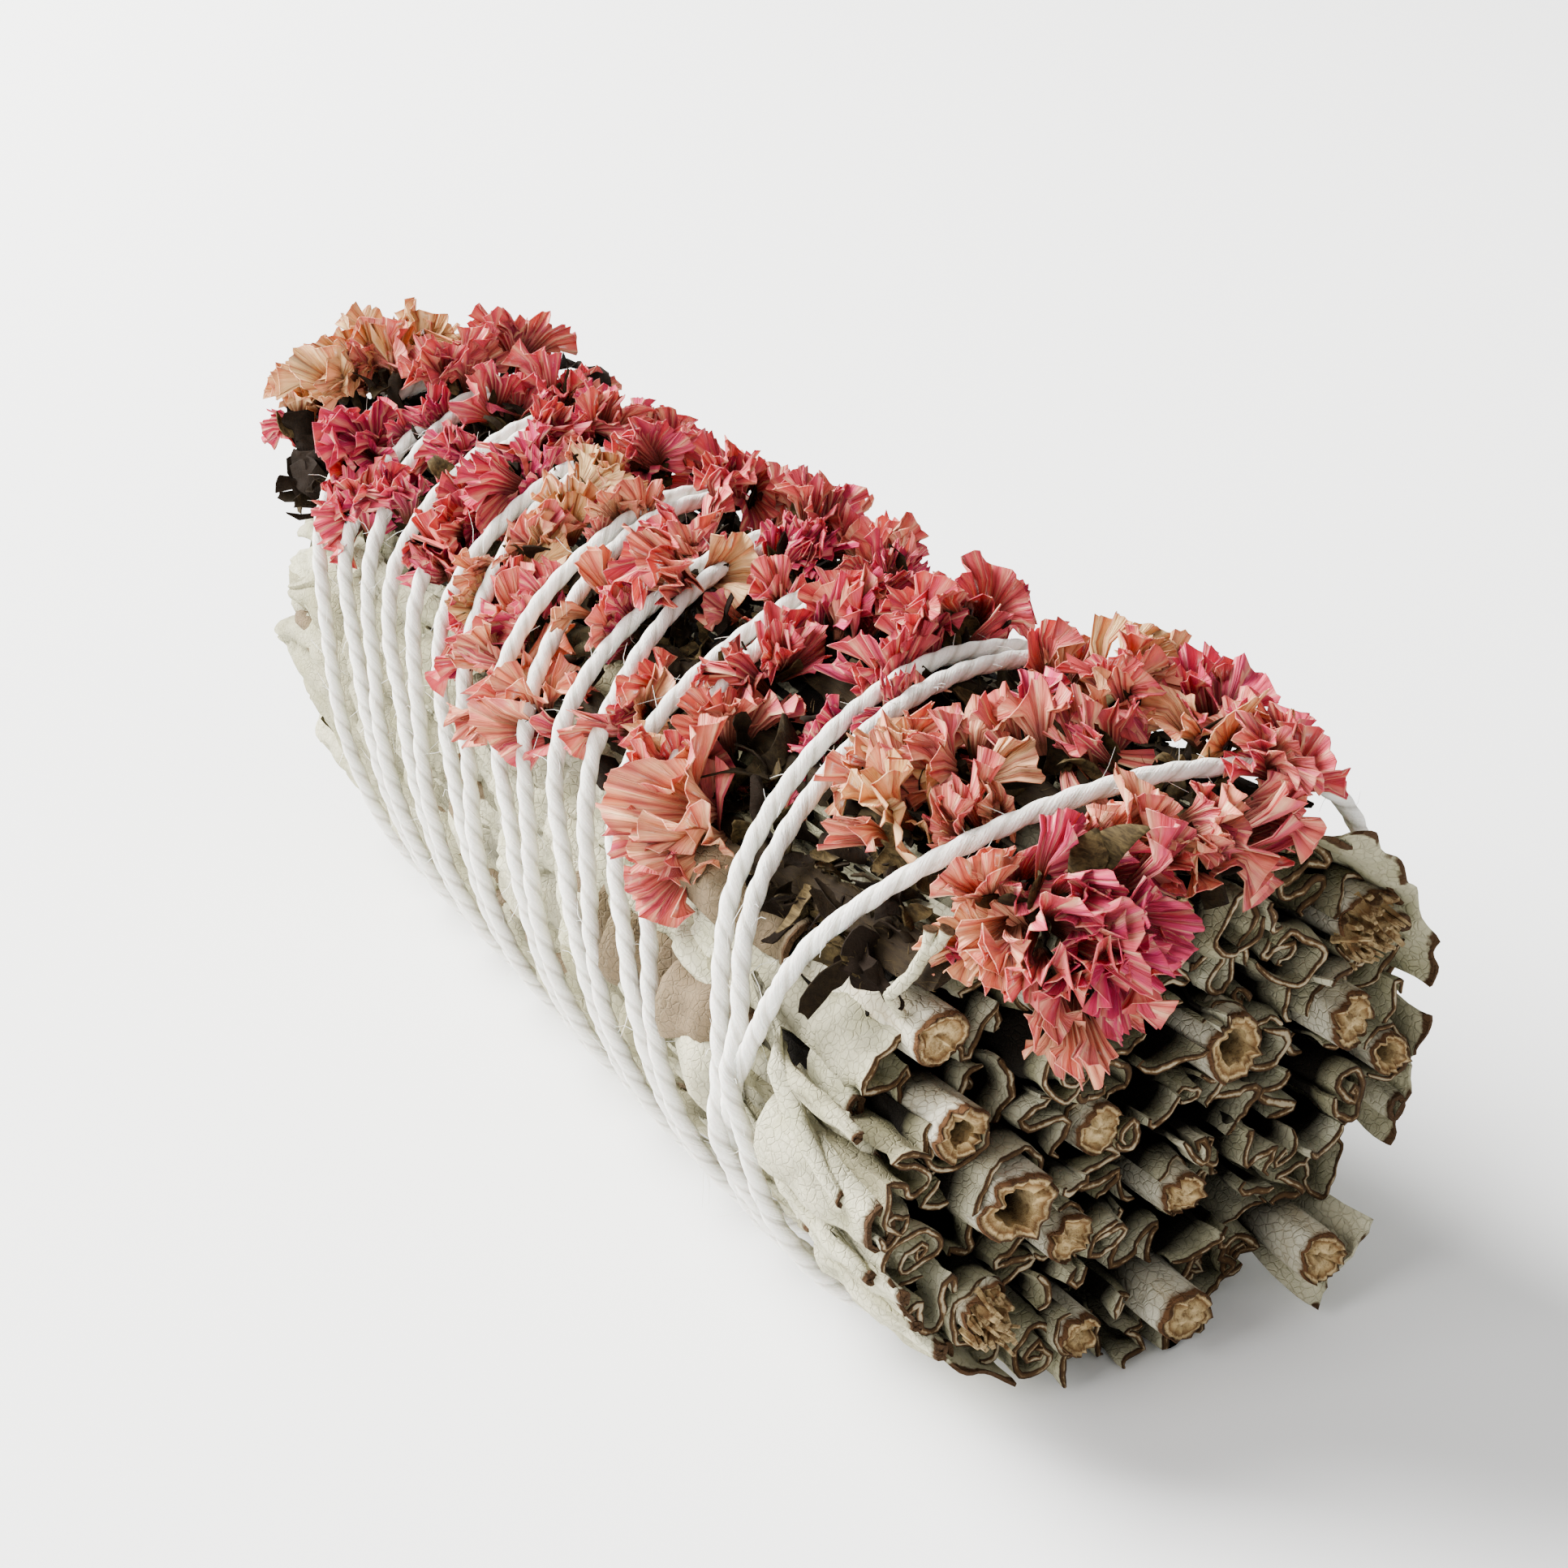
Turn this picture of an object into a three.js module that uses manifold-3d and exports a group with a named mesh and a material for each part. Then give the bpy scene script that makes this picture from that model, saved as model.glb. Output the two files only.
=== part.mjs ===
// A herb bundle of white sage and dried pink statice, bound with one cotton string and lying on its side.
// Millimetres, +Z up. The bundle runs along X, with its cut end at +X and its leafy tip at -X, and the
// origin is under its middle, on the surface that it lies on.
// Places on it are given by u, the distance back from the cut end, an angle in degrees from the top that
// grows towards -Y, and a rise above the sage's outer skin.
import * as THREE from "three";
import { mergeVertices } from "three/addons/utils/BufferGeometryUtils.js";
import Module from "manifold-3d";

const wasm = await Module();
wasm.setup();

// ---- Driving dimensions ----

const cutX = 49.2; // where the cut end's plane crosses X
const axisShare = 0.965; // the axis lies this share of the half height above the surface
const skinStations = [
  // u, half width, half height, and how far the tip is lifted off the surface
  { u: -8, width: 21.2, height: 18.4, lift: 0 },
  { u: 0, width: 21.0, height: 18.4, lift: 0 },
  { u: 17, width: 19.8, height: 18.3, lift: 0 },
  { u: 42, width: 17.8, height: 18.7, lift: 0 },
  { u: 66, width: 15.4, height: 19.0, lift: 0 },
  { u: 86, width: 13.7, height: 18.8, lift: 0.5 },
  { u: 98, width: 12.8, height: 17.2, lift: 2.2 },
  { u: 106, width: 11.0, height: 14.4, lift: 4.4 },
];
const clearance = 0.34; // between neighbouring pieces
const bed = { height: 1.95, from: 5, to: 9.5 }; // the sage hangs this high between the wraps under it
const packed = { rise: -1.2, start: 5, stations: [5, 11, 34, 54, 76, 104], gap: 0.8 }; // the inner leaves
const leaf = {
  lengths: [50, 58], // along the bundle, least and most
  secondAt: [42, 47], // how far behind the first leaf the second one starts
  root: -2.2, // rise of its inner face, sunk in the packed leaves
  edge: -0.3, // rise of its outer face at the edges
  crown: 0.3, // how much lower the outer face is along its middle
  lift: 0.25, // how much lower still it may be at its front
  margins: [1.5, 4], // degrees kept clear of its share at each side, of its outer and inner face
};
const curl = { thickness: 0.8, radii: [1.8, 2.4], sweeps: [3.2, 4.4], tighten: 0.14, behind: 2, beside: 1.4 };
const cord = { radius: 0.62, restHeight: 0.66, sides: 5, sideRise: 1.3, topRise: 3.0, step: 24 };
const overSprays = { middle: 12, from: 38, to: 68 }; // beyond these degrees the string comes down to the sage
const twig = { narrow: 1.1, wide: 1.7, thickness: 0.9, rise: 0.85, step: 8 };
const calyx = {
  sides: 5,
  neck: 0.55, // radius of its neck
  neckTop: 3.6, // rise at which it begins to flare, level with the string
  length: 5.6,
  tallFrom: 80, // beyond this they grow longer towards the tip, and lean out over it
  tallest: 1.5,
  lean: 6,
  mouth: 3.4, // radius of its rim
  wall: 0.8,
  spacing: 3.7,
  splay: 2.1, // how far two in one gap lean apart
};
const nodding = { ahead: 2.4, neck: 1.2, length: 4.6, mouth: 3.1 }; // those in front of the cut end

// ---- The sage's outer skin ----

const radians = THREE.MathUtils.degToRad;
const smooth = THREE.MathUtils.smoothstep;

function skinAt(u) {
  const s = skinStations;
  let i = 0;
  while (i < s.length - 2 && u > s[i + 1].u) i++;
  const span = s[i + 1].u - s[i].u;
  const t = THREE.MathUtils.clamp((u - s[i].u) / span, 0, 1);
  const slope = (k, key) => {
    const a = s[Math.max(k - 1, 0)];
    const b = s[Math.min(k + 1, s.length - 1)];
    return (b[key] - a[key]) / (b.u - a.u);
  };
  const value = (key) =>
    s[i][key] * (1 + 2 * t) * (1 - t) ** 2 +
    slope(i, key) * span * t * (1 - t) ** 2 +
    s[i + 1][key] * t * t * (3 - 2 * t) +
    slope(i + 1, key) * span * t * t * (t - 1);
  return { width: value("width"), height: value("height"), lift: value("lift") };
}

function bedUnder(u) {
  return skinAt(u).lift + bed.height * smooth(u, bed.from, bed.to);
}

// A point at u, angle and rise; the underside is pressed flat at the height given.
function skin(u, angle, rise, floor) {
  const s = skinAt(u);
  const a = radians(angle);
  const z = s.lift + axisShare * s.height + (s.height + rise) * Math.cos(a);
  return new THREE.Vector3(cutX - u, -(s.width + rise) * Math.sin(a), Math.max(z, floor));
}

function sageSkin(u, angle, rise) {
  return skin(u, angle, rise, bedUnder(u) + 0.5 * Math.max(-rise, 0));
}

// The sprigs turn slowly about the axis as they run back.
function turnAt(u) {
  return 4 * Math.sin(u / 19);
}

// A point y, z of the cut end's section, carried back along the bundle as it narrows and turns.
function along(u, y, z) {
  const s = skinAt(u);
  const end = skinAt(0);
  const turn = radians(turnAt(u));
  const a = y / end.width;
  const b = (z - axisShare * end.height) / end.height;
  const across = a * Math.cos(turn) - b * Math.sin(turn);
  const up = a * Math.sin(turn) + b * Math.cos(turn);
  const height = s.lift + (axisShare + up) * s.height;
  return new THREE.Vector3(cutX - u, across * s.width, Math.max(height, bedUnder(u) - 0.5 * packed.rise));
}

// ---- Solids ----

function seeded(seed) {
  let state = seed;
  return (low, high) => {
    state = (Math.imul(state, 1664525) + 1013904223) >>> 0;
    return low + ((high - low) * (state >>> 8)) / 16777216;
  };
}

function manifoldOf(positions, triangles) {
  const mesh = new wasm.Mesh({
    numProp: 3,
    vertProperties: positions,
    triVerts: new Uint32Array(triangles),
  });
  return new wasm.Manifold(mesh);
}

// A solid from points and triangles, turned inside out if its faces point in.
function solid(points, triangles) {
  const geometry = new THREE.BufferGeometry().setFromPoints(points);
  geometry.setIndex(triangles);
  const merged = mergeVertices(geometry, 1e-4);
  const corners = Array.from(merged.index.array);
  const faces = [];
  for (let i = 0; i < corners.length; i += 3) {
    const [a, b, c] = corners.slice(i, i + 3);
    if (a !== b && b !== c && a !== c) faces.push([a, b, c]);
  }
  const positions = merged.attributes.position.array;
  const made = manifoldOf(positions, faces.flat());
  if (made.volume() > 0) return made;
  return manifoldOf(positions, faces.flatMap(([a, b, c]) => [a, c, b]));
}

// Rings with the same number of points, joined in turn and closed by a fan at each end.
function loft(rings) {
  const n = rings[0].length;
  const triangles = [];
  for (let r = 0; r + 1 < rings.length; r++) {
    for (let i = 0; i < n; i++) {
      const a = r * n + i;
      const b = r * n + ((i + 1) % n);
      triangles.push(a, b, b + n, a, b + n, a + n);
    }
  }
  const last = (rings.length - 1) * n;
  for (let i = 1; i + 1 < n; i++) triangles.push(0, i + 1, i, last, last + i, last + i + 1);
  return solid(rings.flat(), triangles);
}

// A thin blade: face(s, v, side) gives its outer (side 1) and inner (side 0) face, for s along it and v
// across it from 0 to 1. Both faces are split into triangles alike.
function blade(lengthSteps, widthSteps, face) {
  const points = [];
  for (const side of [1, 0]) {
    for (let i = 0; i <= lengthSteps; i++) {
      for (let j = 0; j <= widthSteps; j++) points.push(face(i / lengthSteps, j / widthSteps, side));
    }
  }
  const row = widthSteps + 1;
  const inner = (lengthSteps + 1) * row;
  const triangles = [];
  for (let i = 0; i < lengthSteps; i++) {
    for (let j = 0; j < widthSteps; j++) {
      const a = i * row + j;
      const b = a + inner;
      triangles.push(a, a + 1, a + row + 1, a, a + row + 1, a + row);
      triangles.push(b, b + row + 1, b + 1, b, b + row, b + row + 1);
    }
  }
  const rim = [];
  for (let j = 0; j < widthSteps; j++) rim.push(j);
  for (let i = 0; i < lengthSteps; i++) rim.push(i * row + widthSteps);
  for (let j = widthSteps; j > 0; j--) rim.push(lengthSteps * row + j);
  for (let i = lengthSteps; i > 0; i--) rim.push(i * row);
  rim.forEach((a, k) => {
    const b = rim[(k + 1) % rim.length];
    triangles.push(a, a + inner, b + inner, a, b + inner, b);
  });
  return solid(points, triangles);
}

function join(solids) {
  return wasm.Manifold.union(solids);
}

// The largest body of what is left: loose scraps are dropped.
function largest(made) {
  return made.decompose().sort((a, b) => b.volume() - a.volume())[0];
}

// ---- Sage sprigs: a woody stem each, in its own share of the packed leaves ----

// y and z of each stem at the cut end, its radius, the u where it is cut off, and how its end looks
const stems = [
  { y: -15.2, z: 26.0, radius: 2.1, cut: 2.4, end: "pith" },
  { y: -14.8, z: 20.6, radius: 1.9, cut: 0.4, end: "hollow" },
  { y: -11.4, z: 15.9, radius: 2.5, cut: -1.4, end: "hollow" },
  { y: -7.2, z: 11.4, radius: 1.7, cut: -0.6, end: "pith" },
  { y: -4.6, z: 17.2, radius: 1.7, cut: 0.6, end: "pith" },
  { y: 1.6, z: 11.4, radius: 1.5, cut: -0.6, end: "pith" },
  { y: 5.2, z: 20.4, radius: 2.2, cut: -0.4, end: "hollow" },
  { y: 13.8, z: 20.2, radius: 1.8, cut: -1.4, end: "pith" },
  { y: 18.0, z: 16.4, radius: 1.5, cut: -1.0, end: "hollow" },
  { y: 15.8, z: 25.6, radius: 2.0, cut: 0.0, end: "ragged" },
  { y: 1.4, z: 4.2, radius: 2.0, cut: -2.6, end: "pith" },
  { y: -6.4, z: 4.6, radius: 1.4, cut: -1.2, end: "pith" },
  { y: 12.2, z: 5.0, radius: 1.6, cut: -3.0, end: "pith" },
  { y: -13.6, z: 8.6, radius: 1.7, cut: -1.0, end: "ragged" },
  { y: -7.4, z: 27.4, radius: 1.6, cut: 1.8, end: "pith" },
  { y: 1.2, z: 30.0, radius: 1.6, cut: 1.2, end: "pith" },
];

// The part of the section inside the skin, at a rise, that is nearer to stem k than to any other.
function shareOutline(k, rise) {
  const own = stems[k];
  let outline = [];
  for (let angle = 0; angle < 360; angle += 15) {
    const { y, z } = skin(0, angle, rise, 0);
    outline.push({ y, z });
  }
  for (const other of stems) {
    if (other === own) continue;
    const toOther = new THREE.Vector2(other.y - own.y, other.z - own.z);
    const halfway = toOther.length() / 2;
    toOther.normalize();
    const past = (p) => (p.y - own.y) * toOther.x + (p.z - own.z) * toOther.y - halfway + packed.gap / 2;
    const kept = [];
    outline.forEach((p, i) => {
      const q = outline[(i + 1) % outline.length];
      const [before, after] = [past(p), past(q)];
      if (before <= 0) kept.push(p);
      if (before <= 0 !== after <= 0) {
        const t = before / (before - after);
        kept.push({ y: p.y + (q.y - p.y) * t, z: p.z + (q.z - p.z) * t });
      }
    });
    outline = kept;
  }
  // points closer than the gap add nothing
  return outline.filter((p, i) => {
    const q = outline[(i + 1) % outline.length];
    return Math.hypot(p.y - q.y, p.z - q.z) > packed.gap;
  });
}

function shareSolid(k, rise, stations) {
  const outline = shareOutline(k, rise);
  return loft(stations.map((u) => outline.map((p) => along(u, p.y, p.z))));
}

// The stretch of the skin, in degrees, that belongs to stem k, or null for a stem in the middle.
function skinShare(k) {
  const end = skinAt(0);
  const angles = [];
  for (const p of shareOutline(k, 0)) {
    const across = -p.y / end.width;
    const up = p.z / end.height - axisShare;
    if (Math.hypot(across, up) > 0.93) angles.push(THREE.MathUtils.radToDeg(Math.atan2(across, up)));
  }
  if (angles.length < 2) return null;
  const span = (list) => Math.max(...list) - Math.min(...list);
  const turned = angles.map((a) => (a < 0 ? a + 360 : a));
  const used = span(turned) < span(angles) ? turned : angles;
  return { middle: (Math.max(...used) + Math.min(...used)) / 2, half: span(used) / 2 };
}

// A leaf pressed along the skin, with a waved edge and a narrow tip, rooted in the packed leaves.
function outerLeaf(share, start, length, draw) {
  const wave = draw(0, 6);
  const slant = draw(-0.2, 0.2);
  const lift = draw(0, leaf.lift);
  return blade(4, 2, (s, v, side) => {
    const u = start + length * s;
    const across = 2 * v - 1;
    const taper = Math.sin(Math.PI * (0.14 + 0.8 * s)) ** 0.6;
    const waved = 0.93 + 0.07 * Math.sin(7 * s + wave + across);
    const half = (share.half - leaf.margins[side ? 0 : 1]) * taper * waved;
    const angle = share.middle + turnAt(u) + share.half * slant * (s - 0.5) + across * half;
    const outer = leaf.edge - leaf.crown * (1 - across * across) - lift * (1 - s);
    return sageSkin(u, angle, side ? outer : leaf.root);
  });
}

// A leaf cut across at the end: a strip curled round, running back into the packed leaves.
function curledLeaf(y, z, radius, from, sweep, cut) {
  return blade(3, 1, (s, v, side) => {
    const a = from + sweep * s;
    const r = radius * (1 - curl.tighten * s) - (side ? 0 : curl.thickness);
    const u = v ? cut : packed.start + curl.behind;
    return new THREE.Vector3(cutX - u, y + r * Math.cos(a), z + r * Math.sin(a));
  });
}

// A stem's cut end: plain over its pith, hollowed by a tapered bore, or ragged with three splinters
function woodyStem({ y, z, radius, cut, end }) {
  const ring = (u, r, sides, oy = 0, oz = 0) => {
    const points = [];
    for (let i = 0; i < sides; i++) {
      const a = (i * 2 * Math.PI) / sides;
      points.push(new THREE.Vector3(cutX - u, y + oy + r * Math.cos(a), z + oz + r * Math.sin(a)));
    }
    return points;
  };
  const body = loft([ring(packed.start + 4, radius, 8), ring(cut, radius, 8)]);
  if (end === "hollow") {
    return body.subtract(loft([ring(cut + 3, radius * 0.35, 6), ring(cut - 1, radius * 0.62, 6)]));
  }
  if (end === "pith") return body;
  const splinters = [0, 2, 4].map((a) => {
    const oy = radius * 0.5 * Math.cos(a + y);
    const oz = radius * 0.5 * Math.sin(a + y);
    return loft([ring(cut + 1, 0.8, 4, oy, oz), ring(cut - 1.2 - 0.3 * a, 0.3, 4, oy, oz)]);
  });
  return join([body, ...splinters]);
}

// Where a leaf is folded down between two wraps far enough to rest on the surface
const restingFolds = { sprig: 11, y: -6, at: [19.6, 46.9, 77], halfLength: 1.5, halfWidth: 1.5, root: 3 };

function restingFold(u) {
  const { y } = along(u, restingFolds.y, 0);
  const corners = (z, widen) => {
    const [dx, dy] = [restingFolds.halfLength + widen, restingFolds.halfWidth + widen];
    const around = [[1, 0.5], [0.5, 1], [-0.5, 1], [-1, 0.5], [-1, -0.5], [-0.5, -1], [0.5, -1], [1, -0.5]];
    return around.map(([a, b]) => new THREE.Vector3(cutX - u + a * dx, y + b * dy, z));
  };
  return loft([corners(0, 0), corners(restingFolds.root, 0.3)]);
}

function sageSprig(k) {
  const draw = seeded(101 + 17 * k);
  const stem = stems[k];
  const parts = [shareSolid(k, packed.rise, packed.stations)];
  const share = skinShare(k);
  if (share) {
    const first = draw(-0.8, 1.6);
    parts.push(outerLeaf(share, first, draw(...leaf.lengths), draw));
    parts.push(outerLeaf(share, first + draw(...leaf.secondAt), draw(...leaf.lengths), draw));
  }
  const curls = [];
  for (let i = 0; i < 2; i++) {
    const a = draw(0, 2) + i * Math.PI;
    const reach = stem.radius + curl.beside;
    const [y, z] = [stem.y + reach * Math.cos(a), stem.z + reach * Math.sin(a)];
    curls.push(curledLeaf(y, z, draw(...curl.radii), a + draw(0, 3), draw(...curl.sweeps), draw(0.2, 2.2)));
  }
  parts.push(join(curls).intersect(shareSolid(k, -0.2, [-2, packed.start + 1])));
  const folds = k === restingFolds.sprig ? restingFolds.at.map(restingFold) : [];
  return join([...parts, woodyStem(stem), ...folds]);
}

// ---- The string: one length, wound over the front, out to the tip and back again ----

// u at each angle over the front, from where the string starts under the bundle
const frontWrap = [
  { angle: 900, u: 16.9 },
  { angle: 845, u: 16.6 },
  { angle: 820, u: 16.0 },
  { angle: 799, u: 13.9 },
  { angle: 777, u: 10.4 },
  { angle: 749, u: 5.4 },
  { angle: 724, u: 2.6 },
  { angle: 700, u: 1.6 },
  { angle: 670, u: 2.2 },
  { angle: 640, u: 4.4 },
  { angle: 600, u: 8.0 },
  { angle: 555, u: 11.2 },
  { angle: 516, u: 12.9 },
];
const winding = { first: 16, pitch: 10.2, turns: 7.8, startAngle: 516, lean: 6.2, leanAngle: -35, sway: 0.6 };
// On the way back the string lies beside an earlier wrap, spreads from it on one side and crosses over
// to the wrap before it on the far side. The last wrap lies in front of the first.
const wayBack = {
  turns: 6.8,
  beside: 1.8,
  spread: 3.2,
  spreadAngle: 58,
  spreadReach: 46,
  crossFrom: 0.56,
  lastFrom: 5.8,
  lastBeside: -2.4,
};

function fromAngle(angle, other) {
  return Math.abs(THREE.MathUtils.euclideanModulo(angle - other + 180, 360) - 180);
}

function stringRise(angle) {
  const away = fromAngle(angle, overSprays.middle);
  return THREE.MathUtils.lerp(cord.topRise, cord.sideRise, smooth(away, overSprays.from, overSprays.to));
}

function stringCentre({ u, angle }) {
  return skin(u, angle, stringRise(angle), skinAt(u).lift + cord.restHeight);
}

// u of a wrap that has gone out by so many pitches, at an angle
function wrapU(pitches, angle) {
  const lean = winding.lean * (0.5 + 0.5 * smooth(pitches, 0, 2));
  const sway = winding.sway * Math.sin(1.7 * pitches);
  return winding.first + winding.pitch * pitches + lean * Math.cos(radians(angle - winding.leanAngle)) + sway;
}

function outWrap(turn) {
  const angle = winding.startAngle - 360 * turn;
  return { u: wrapU(turn, angle), angle };
}

function backWrap(more) {
  const turn = winding.turns + more;
  const angle = winding.startAngle - 360 * turn;
  const crossed = Math.floor(turn) - Math.floor(winding.turns) + smooth(turn % 1, wayBack.crossFrom, 1);
  const spread = wayBack.spread * (1 - smooth(fromAngle(angle, wayBack.spreadAngle), 0, wayBack.spreadReach));
  const last = smooth(more, wayBack.lastFrom, wayBack.lastFrom + 0.5);
  const beside = THREE.MathUtils.lerp(wayBack.beside + spread, wayBack.lastBeside, last);
  return { u: wrapU(turn - 2 * crossed, angle) + beside * smooth(more, 0, 0.2), angle };
}

function frontRoute() {
  const curve = new THREE.SplineCurve(frontWrap.map(({ angle, u }) => new THREE.Vector2(angle, u)));
  const count = Math.round((frontWrap[0].angle - frontWrap.at(-1).angle) / cord.step);
  return curve.getPoints(count).map(({ x, y }) => ({ u: y, angle: x }));
}

function woundRoute(wrap, turns) {
  const count = Math.round((turns * 360) / cord.step);
  return Array.from({ length: count + 1 }, (_, i) => wrap((i / count) * turns));
}

const stringRoutes = [
  [...frontRoute().slice(0, -1), ...woundRoute(outWrap, winding.turns)],
  woundRoute(backWrap, wayBack.turns),
];

// A five-sided string with one flat side out, which it lies on under the bundle.
function stringTube(places, radius) {
  const centres = places.map(stringCentre);
  const rings = centres.map((centre, i) => {
    const ahead = centres[Math.min(i + 1, centres.length - 1)];
    const behind = centres[Math.max(i - 1, 0)];
    const forward = new THREE.Vector3().subVectors(ahead, behind).normalize();
    const { u, angle } = places[i];
    const out = new THREE.Vector3().subVectors(centre, skin(u, angle, -6, -20));
    if (centre.z <= skinAt(u).lift + cord.restHeight) out.set(0, 0, -1);
    out.addScaledVector(forward, -out.dot(forward)).normalize();
    const side = new THREE.Vector3().crossVectors(forward, out);
    return Array.from({ length: cord.sides }, (_, k) => {
      const a = ((k + 0.5) * 2 * Math.PI) / cord.sides;
      const r = radius / Math.cos(Math.PI / cord.sides);
      return centre
        .clone()
        .addScaledVector(out, r * Math.cos(a))
        .addScaledVector(side, r * Math.sin(a));
    });
  });
  return loft(rings);
}

function cottonString(radius) {
  return join(stringRoutes.map((places) => stringTube(places, radius)));
}

// ---- Statice: flat winged stems along the top, with papery calyces standing out of the string ----

// Where each stem runs, where along it there are calyces, and the places, across and up from its front
// end, of those in the head that nods over it
const sprays = [
  { from: 1, to: 92, angle: 45, flowering: [[23, 34], [44, 66], [78, 92]], head: [] },
  {
    from: -1,
    to: 98,
    angle: 27,
    flowering: [[2, 97]],
    head: [[-2.5, 0.5], [2.6, 1], [-4.4, -4.6], [1, -4.4]],
  },
  { from: -1, to: 101, angle: 10, flowering: [[2, 100]], head: [[0, 2], [5.5, 0.5]] },
  { from: 1, to: 97, angle: -8, flowering: [[2, 96]], head: [] },
  { from: 3, to: 84, angle: -26, flowering: [[4, 83]], head: [] },
];

function sprayAngle(spray, u) {
  return spray.angle + turnAt(u) + Math.sin(u / 4 + spray.angle);
}

function wingedStem(spray) {
  const count = Math.round((spray.to - spray.from) / twig.step);
  const rings = Array.from({ length: count + 1 }, (_, i) => {
    const u = THREE.MathUtils.lerp(spray.from, spray.to, i / count);
    const angle = sprayAngle(spray, u);
    const half = THREE.MathUtils.radToDeg((i % 2 ? twig.wide : twig.narrow) / skinAt(u).height);
    const section = [[-1, 0], [-0.75, 1], [0.75, 1], [1, 0], [0.75, -1], [-0.75, -1]];
    return section.map(([across, up]) =>
      skin(u, angle + across * half, twig.rise + (up * twig.thickness) / 2, 0),
    );
  });
  return loft(rings);
}

// The u of every pass of the string at an angle, in order
function stringPasses(angle) {
  const passes = [];
  for (const places of stringRoutes) {
    for (let i = 0; i + 1 < places.length; i++) {
      const [a, b] = [places[i], places[i + 1]];
      const wanted = angle + 360 * Math.floor((a.angle - angle) / 360);
      if (wanted <= b.angle) continue;
      passes.push(THREE.MathUtils.lerp(a.u, b.u, (a.angle - wanted) / (a.angle - b.angle)));
    }
  }
  return passes.sort((a, b) => a - b);
}

// Calyces stand in the gaps between passes of the string, and two in one gap splay apart
function calyxPlaces(spray) {
  const passes = [spray.from - 1, ...stringPasses(spray.angle), spray.to + 4];
  const least = 2 * (calyx.neck + cord.radius + clearance) + 0.8;
  const places = [];
  for (let i = 0; i + 1 < passes.length; i++) {
    const room = passes[i + 1] - passes[i] - least;
    const count = Math.min(Math.floor(room / calyx.spacing) + 1, 2);
    for (let j = 0; room > 0 && j < count; j++) {
      const side = j - (count - 1) / 2;
      const u = (passes[i] + passes[i + 1]) / 2 + side * calyx.spacing;
      const flowering = spray.flowering.some(([start, end]) => u >= start && u <= end);
      if (flowering) places.push({ u, splay: 2 * side * calyx.splay });
    }
  }
  return places;
}

// A papery funnel with an uneven rim on a slender neck, from a root along an axis
function papery(root, axis, { neck, length, mouth }, draw) {
  const across = new THREE.Vector3(1, 0, 0.01).addScaledVector(axis, -axis.x).normalize();
  const side = new THREE.Vector3().crossVectors(axis, across);
  const start = draw(0, 1);
  const point = (r, k, height) => {
    const a = ((k + start) * 2 * Math.PI) / calyx.sides;
    const p = root.clone().addScaledVector(axis, height);
    return p.addScaledVector(across, r * Math.cos(a)).addScaledVector(side, r * Math.sin(a));
  };
  const rim = Array.from({ length: calyx.sides }, () => ({
    r: mouth * draw(0.82, 1.06),
    height: length * draw(0.9, 1.1),
  }));
  return loft([
    rim.map((_, k) => point(calyx.neck, k, -0.2)),
    rim.map((_, k) => point(calyx.neck, k, neck)),
    rim.map(({ r, height }, k) => point(r, k, height)),
    rim.map(({ r, height }, k) => point(r - calyx.wall, k, height + 0.1)),
    rim.map(() => point(0, 0, neck + 1)),
  ]);
}

// A straight square rod
function rod(from, to, half) {
  const forward = new THREE.Vector3().subVectors(to, from).normalize();
  const side = new THREE.Vector3(0.3, 1, 0.2).cross(forward).normalize();
  const up = new THREE.Vector3().crossVectors(forward, side);
  const corners = (centre, reach) =>
    [[1, 1], [-1, 1], [-1, -1], [1, -1]].map(([a, b]) =>
      centre
        .clone()
        .addScaledVector(forward, reach)
        .addScaledVector(side, a * half)
        .addScaledVector(up, b * half),
    );
  return loft([corners(from, -half), corners(to, half)]);
}

function staticeSpray(spray, seed) {
  const draw = seeded(seed);
  const parts = [wingedStem(spray)];
  for (const { u, splay } of calyxPlaces(spray)) {
    const angle = sprayAngle(spray, u);
    const root = skin(u, angle, twig.rise, 0);
    const tip = smooth(u, calyx.tallFrom, spray.to);
    const lean = splay + draw(-0.4, 0.4) + calyx.lean * tip ** 2;
    const axis = skin(u + lean, angle + draw(-2, 2), 6, 0).sub(root).normalize();
    const mouth = calyx.mouth * (0.4 + (0.6 * skinAt(u).height) / skinAt(0).height);
    const length = calyx.length * THREE.MathUtils.lerp(1, calyx.tallest, tip);
    parts.push(papery(root, axis, { neck: calyx.neckTop - twig.rise, length, mouth }, draw));
  }
  const end = skin(spray.from, sprayAngle(spray, spray.from), twig.rise, 0);
  const hub = new THREE.Vector3(cutX + nodding.ahead, end.y, end.z);
  if (spray.head.length) parts.push(rod(end, hub, calyx.neck));
  for (const [across, up] of spray.head) {
    const root = new THREE.Vector3(hub.x, hub.y + across, hub.z + up);
    const axis = new THREE.Vector3(1, 0.05 * across, 0.05 * up + 0.1).normalize();
    parts.push(rod(hub, root, calyx.neck), papery(root, axis, nodding, draw));
  }
  return join(parts);
}

// ---- Nodes ----

const bundle = new THREE.Group();

function addNode(name, made, look) {
  const { vertProperties, triVerts } = made.getMesh();
  const geometry = new THREE.BufferGeometry();
  geometry.setAttribute("position", new THREE.BufferAttribute(vertProperties, 3));
  geometry.setIndex(new THREE.BufferAttribute(triVerts, 1));
  const node = new THREE.Mesh(geometry, new THREE.MeshStandardMaterial({ ...look, metalness: 0 }));
  node.name = name;
  bundle.add(node);
}

const looks = {
  string: { color: 0xece8dc, roughness: 0.9 },
  sage: { color: 0xb9bbab, roughness: 0.92 },
  statice: { color: 0xd8667c, roughness: 0.8 },
};

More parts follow.
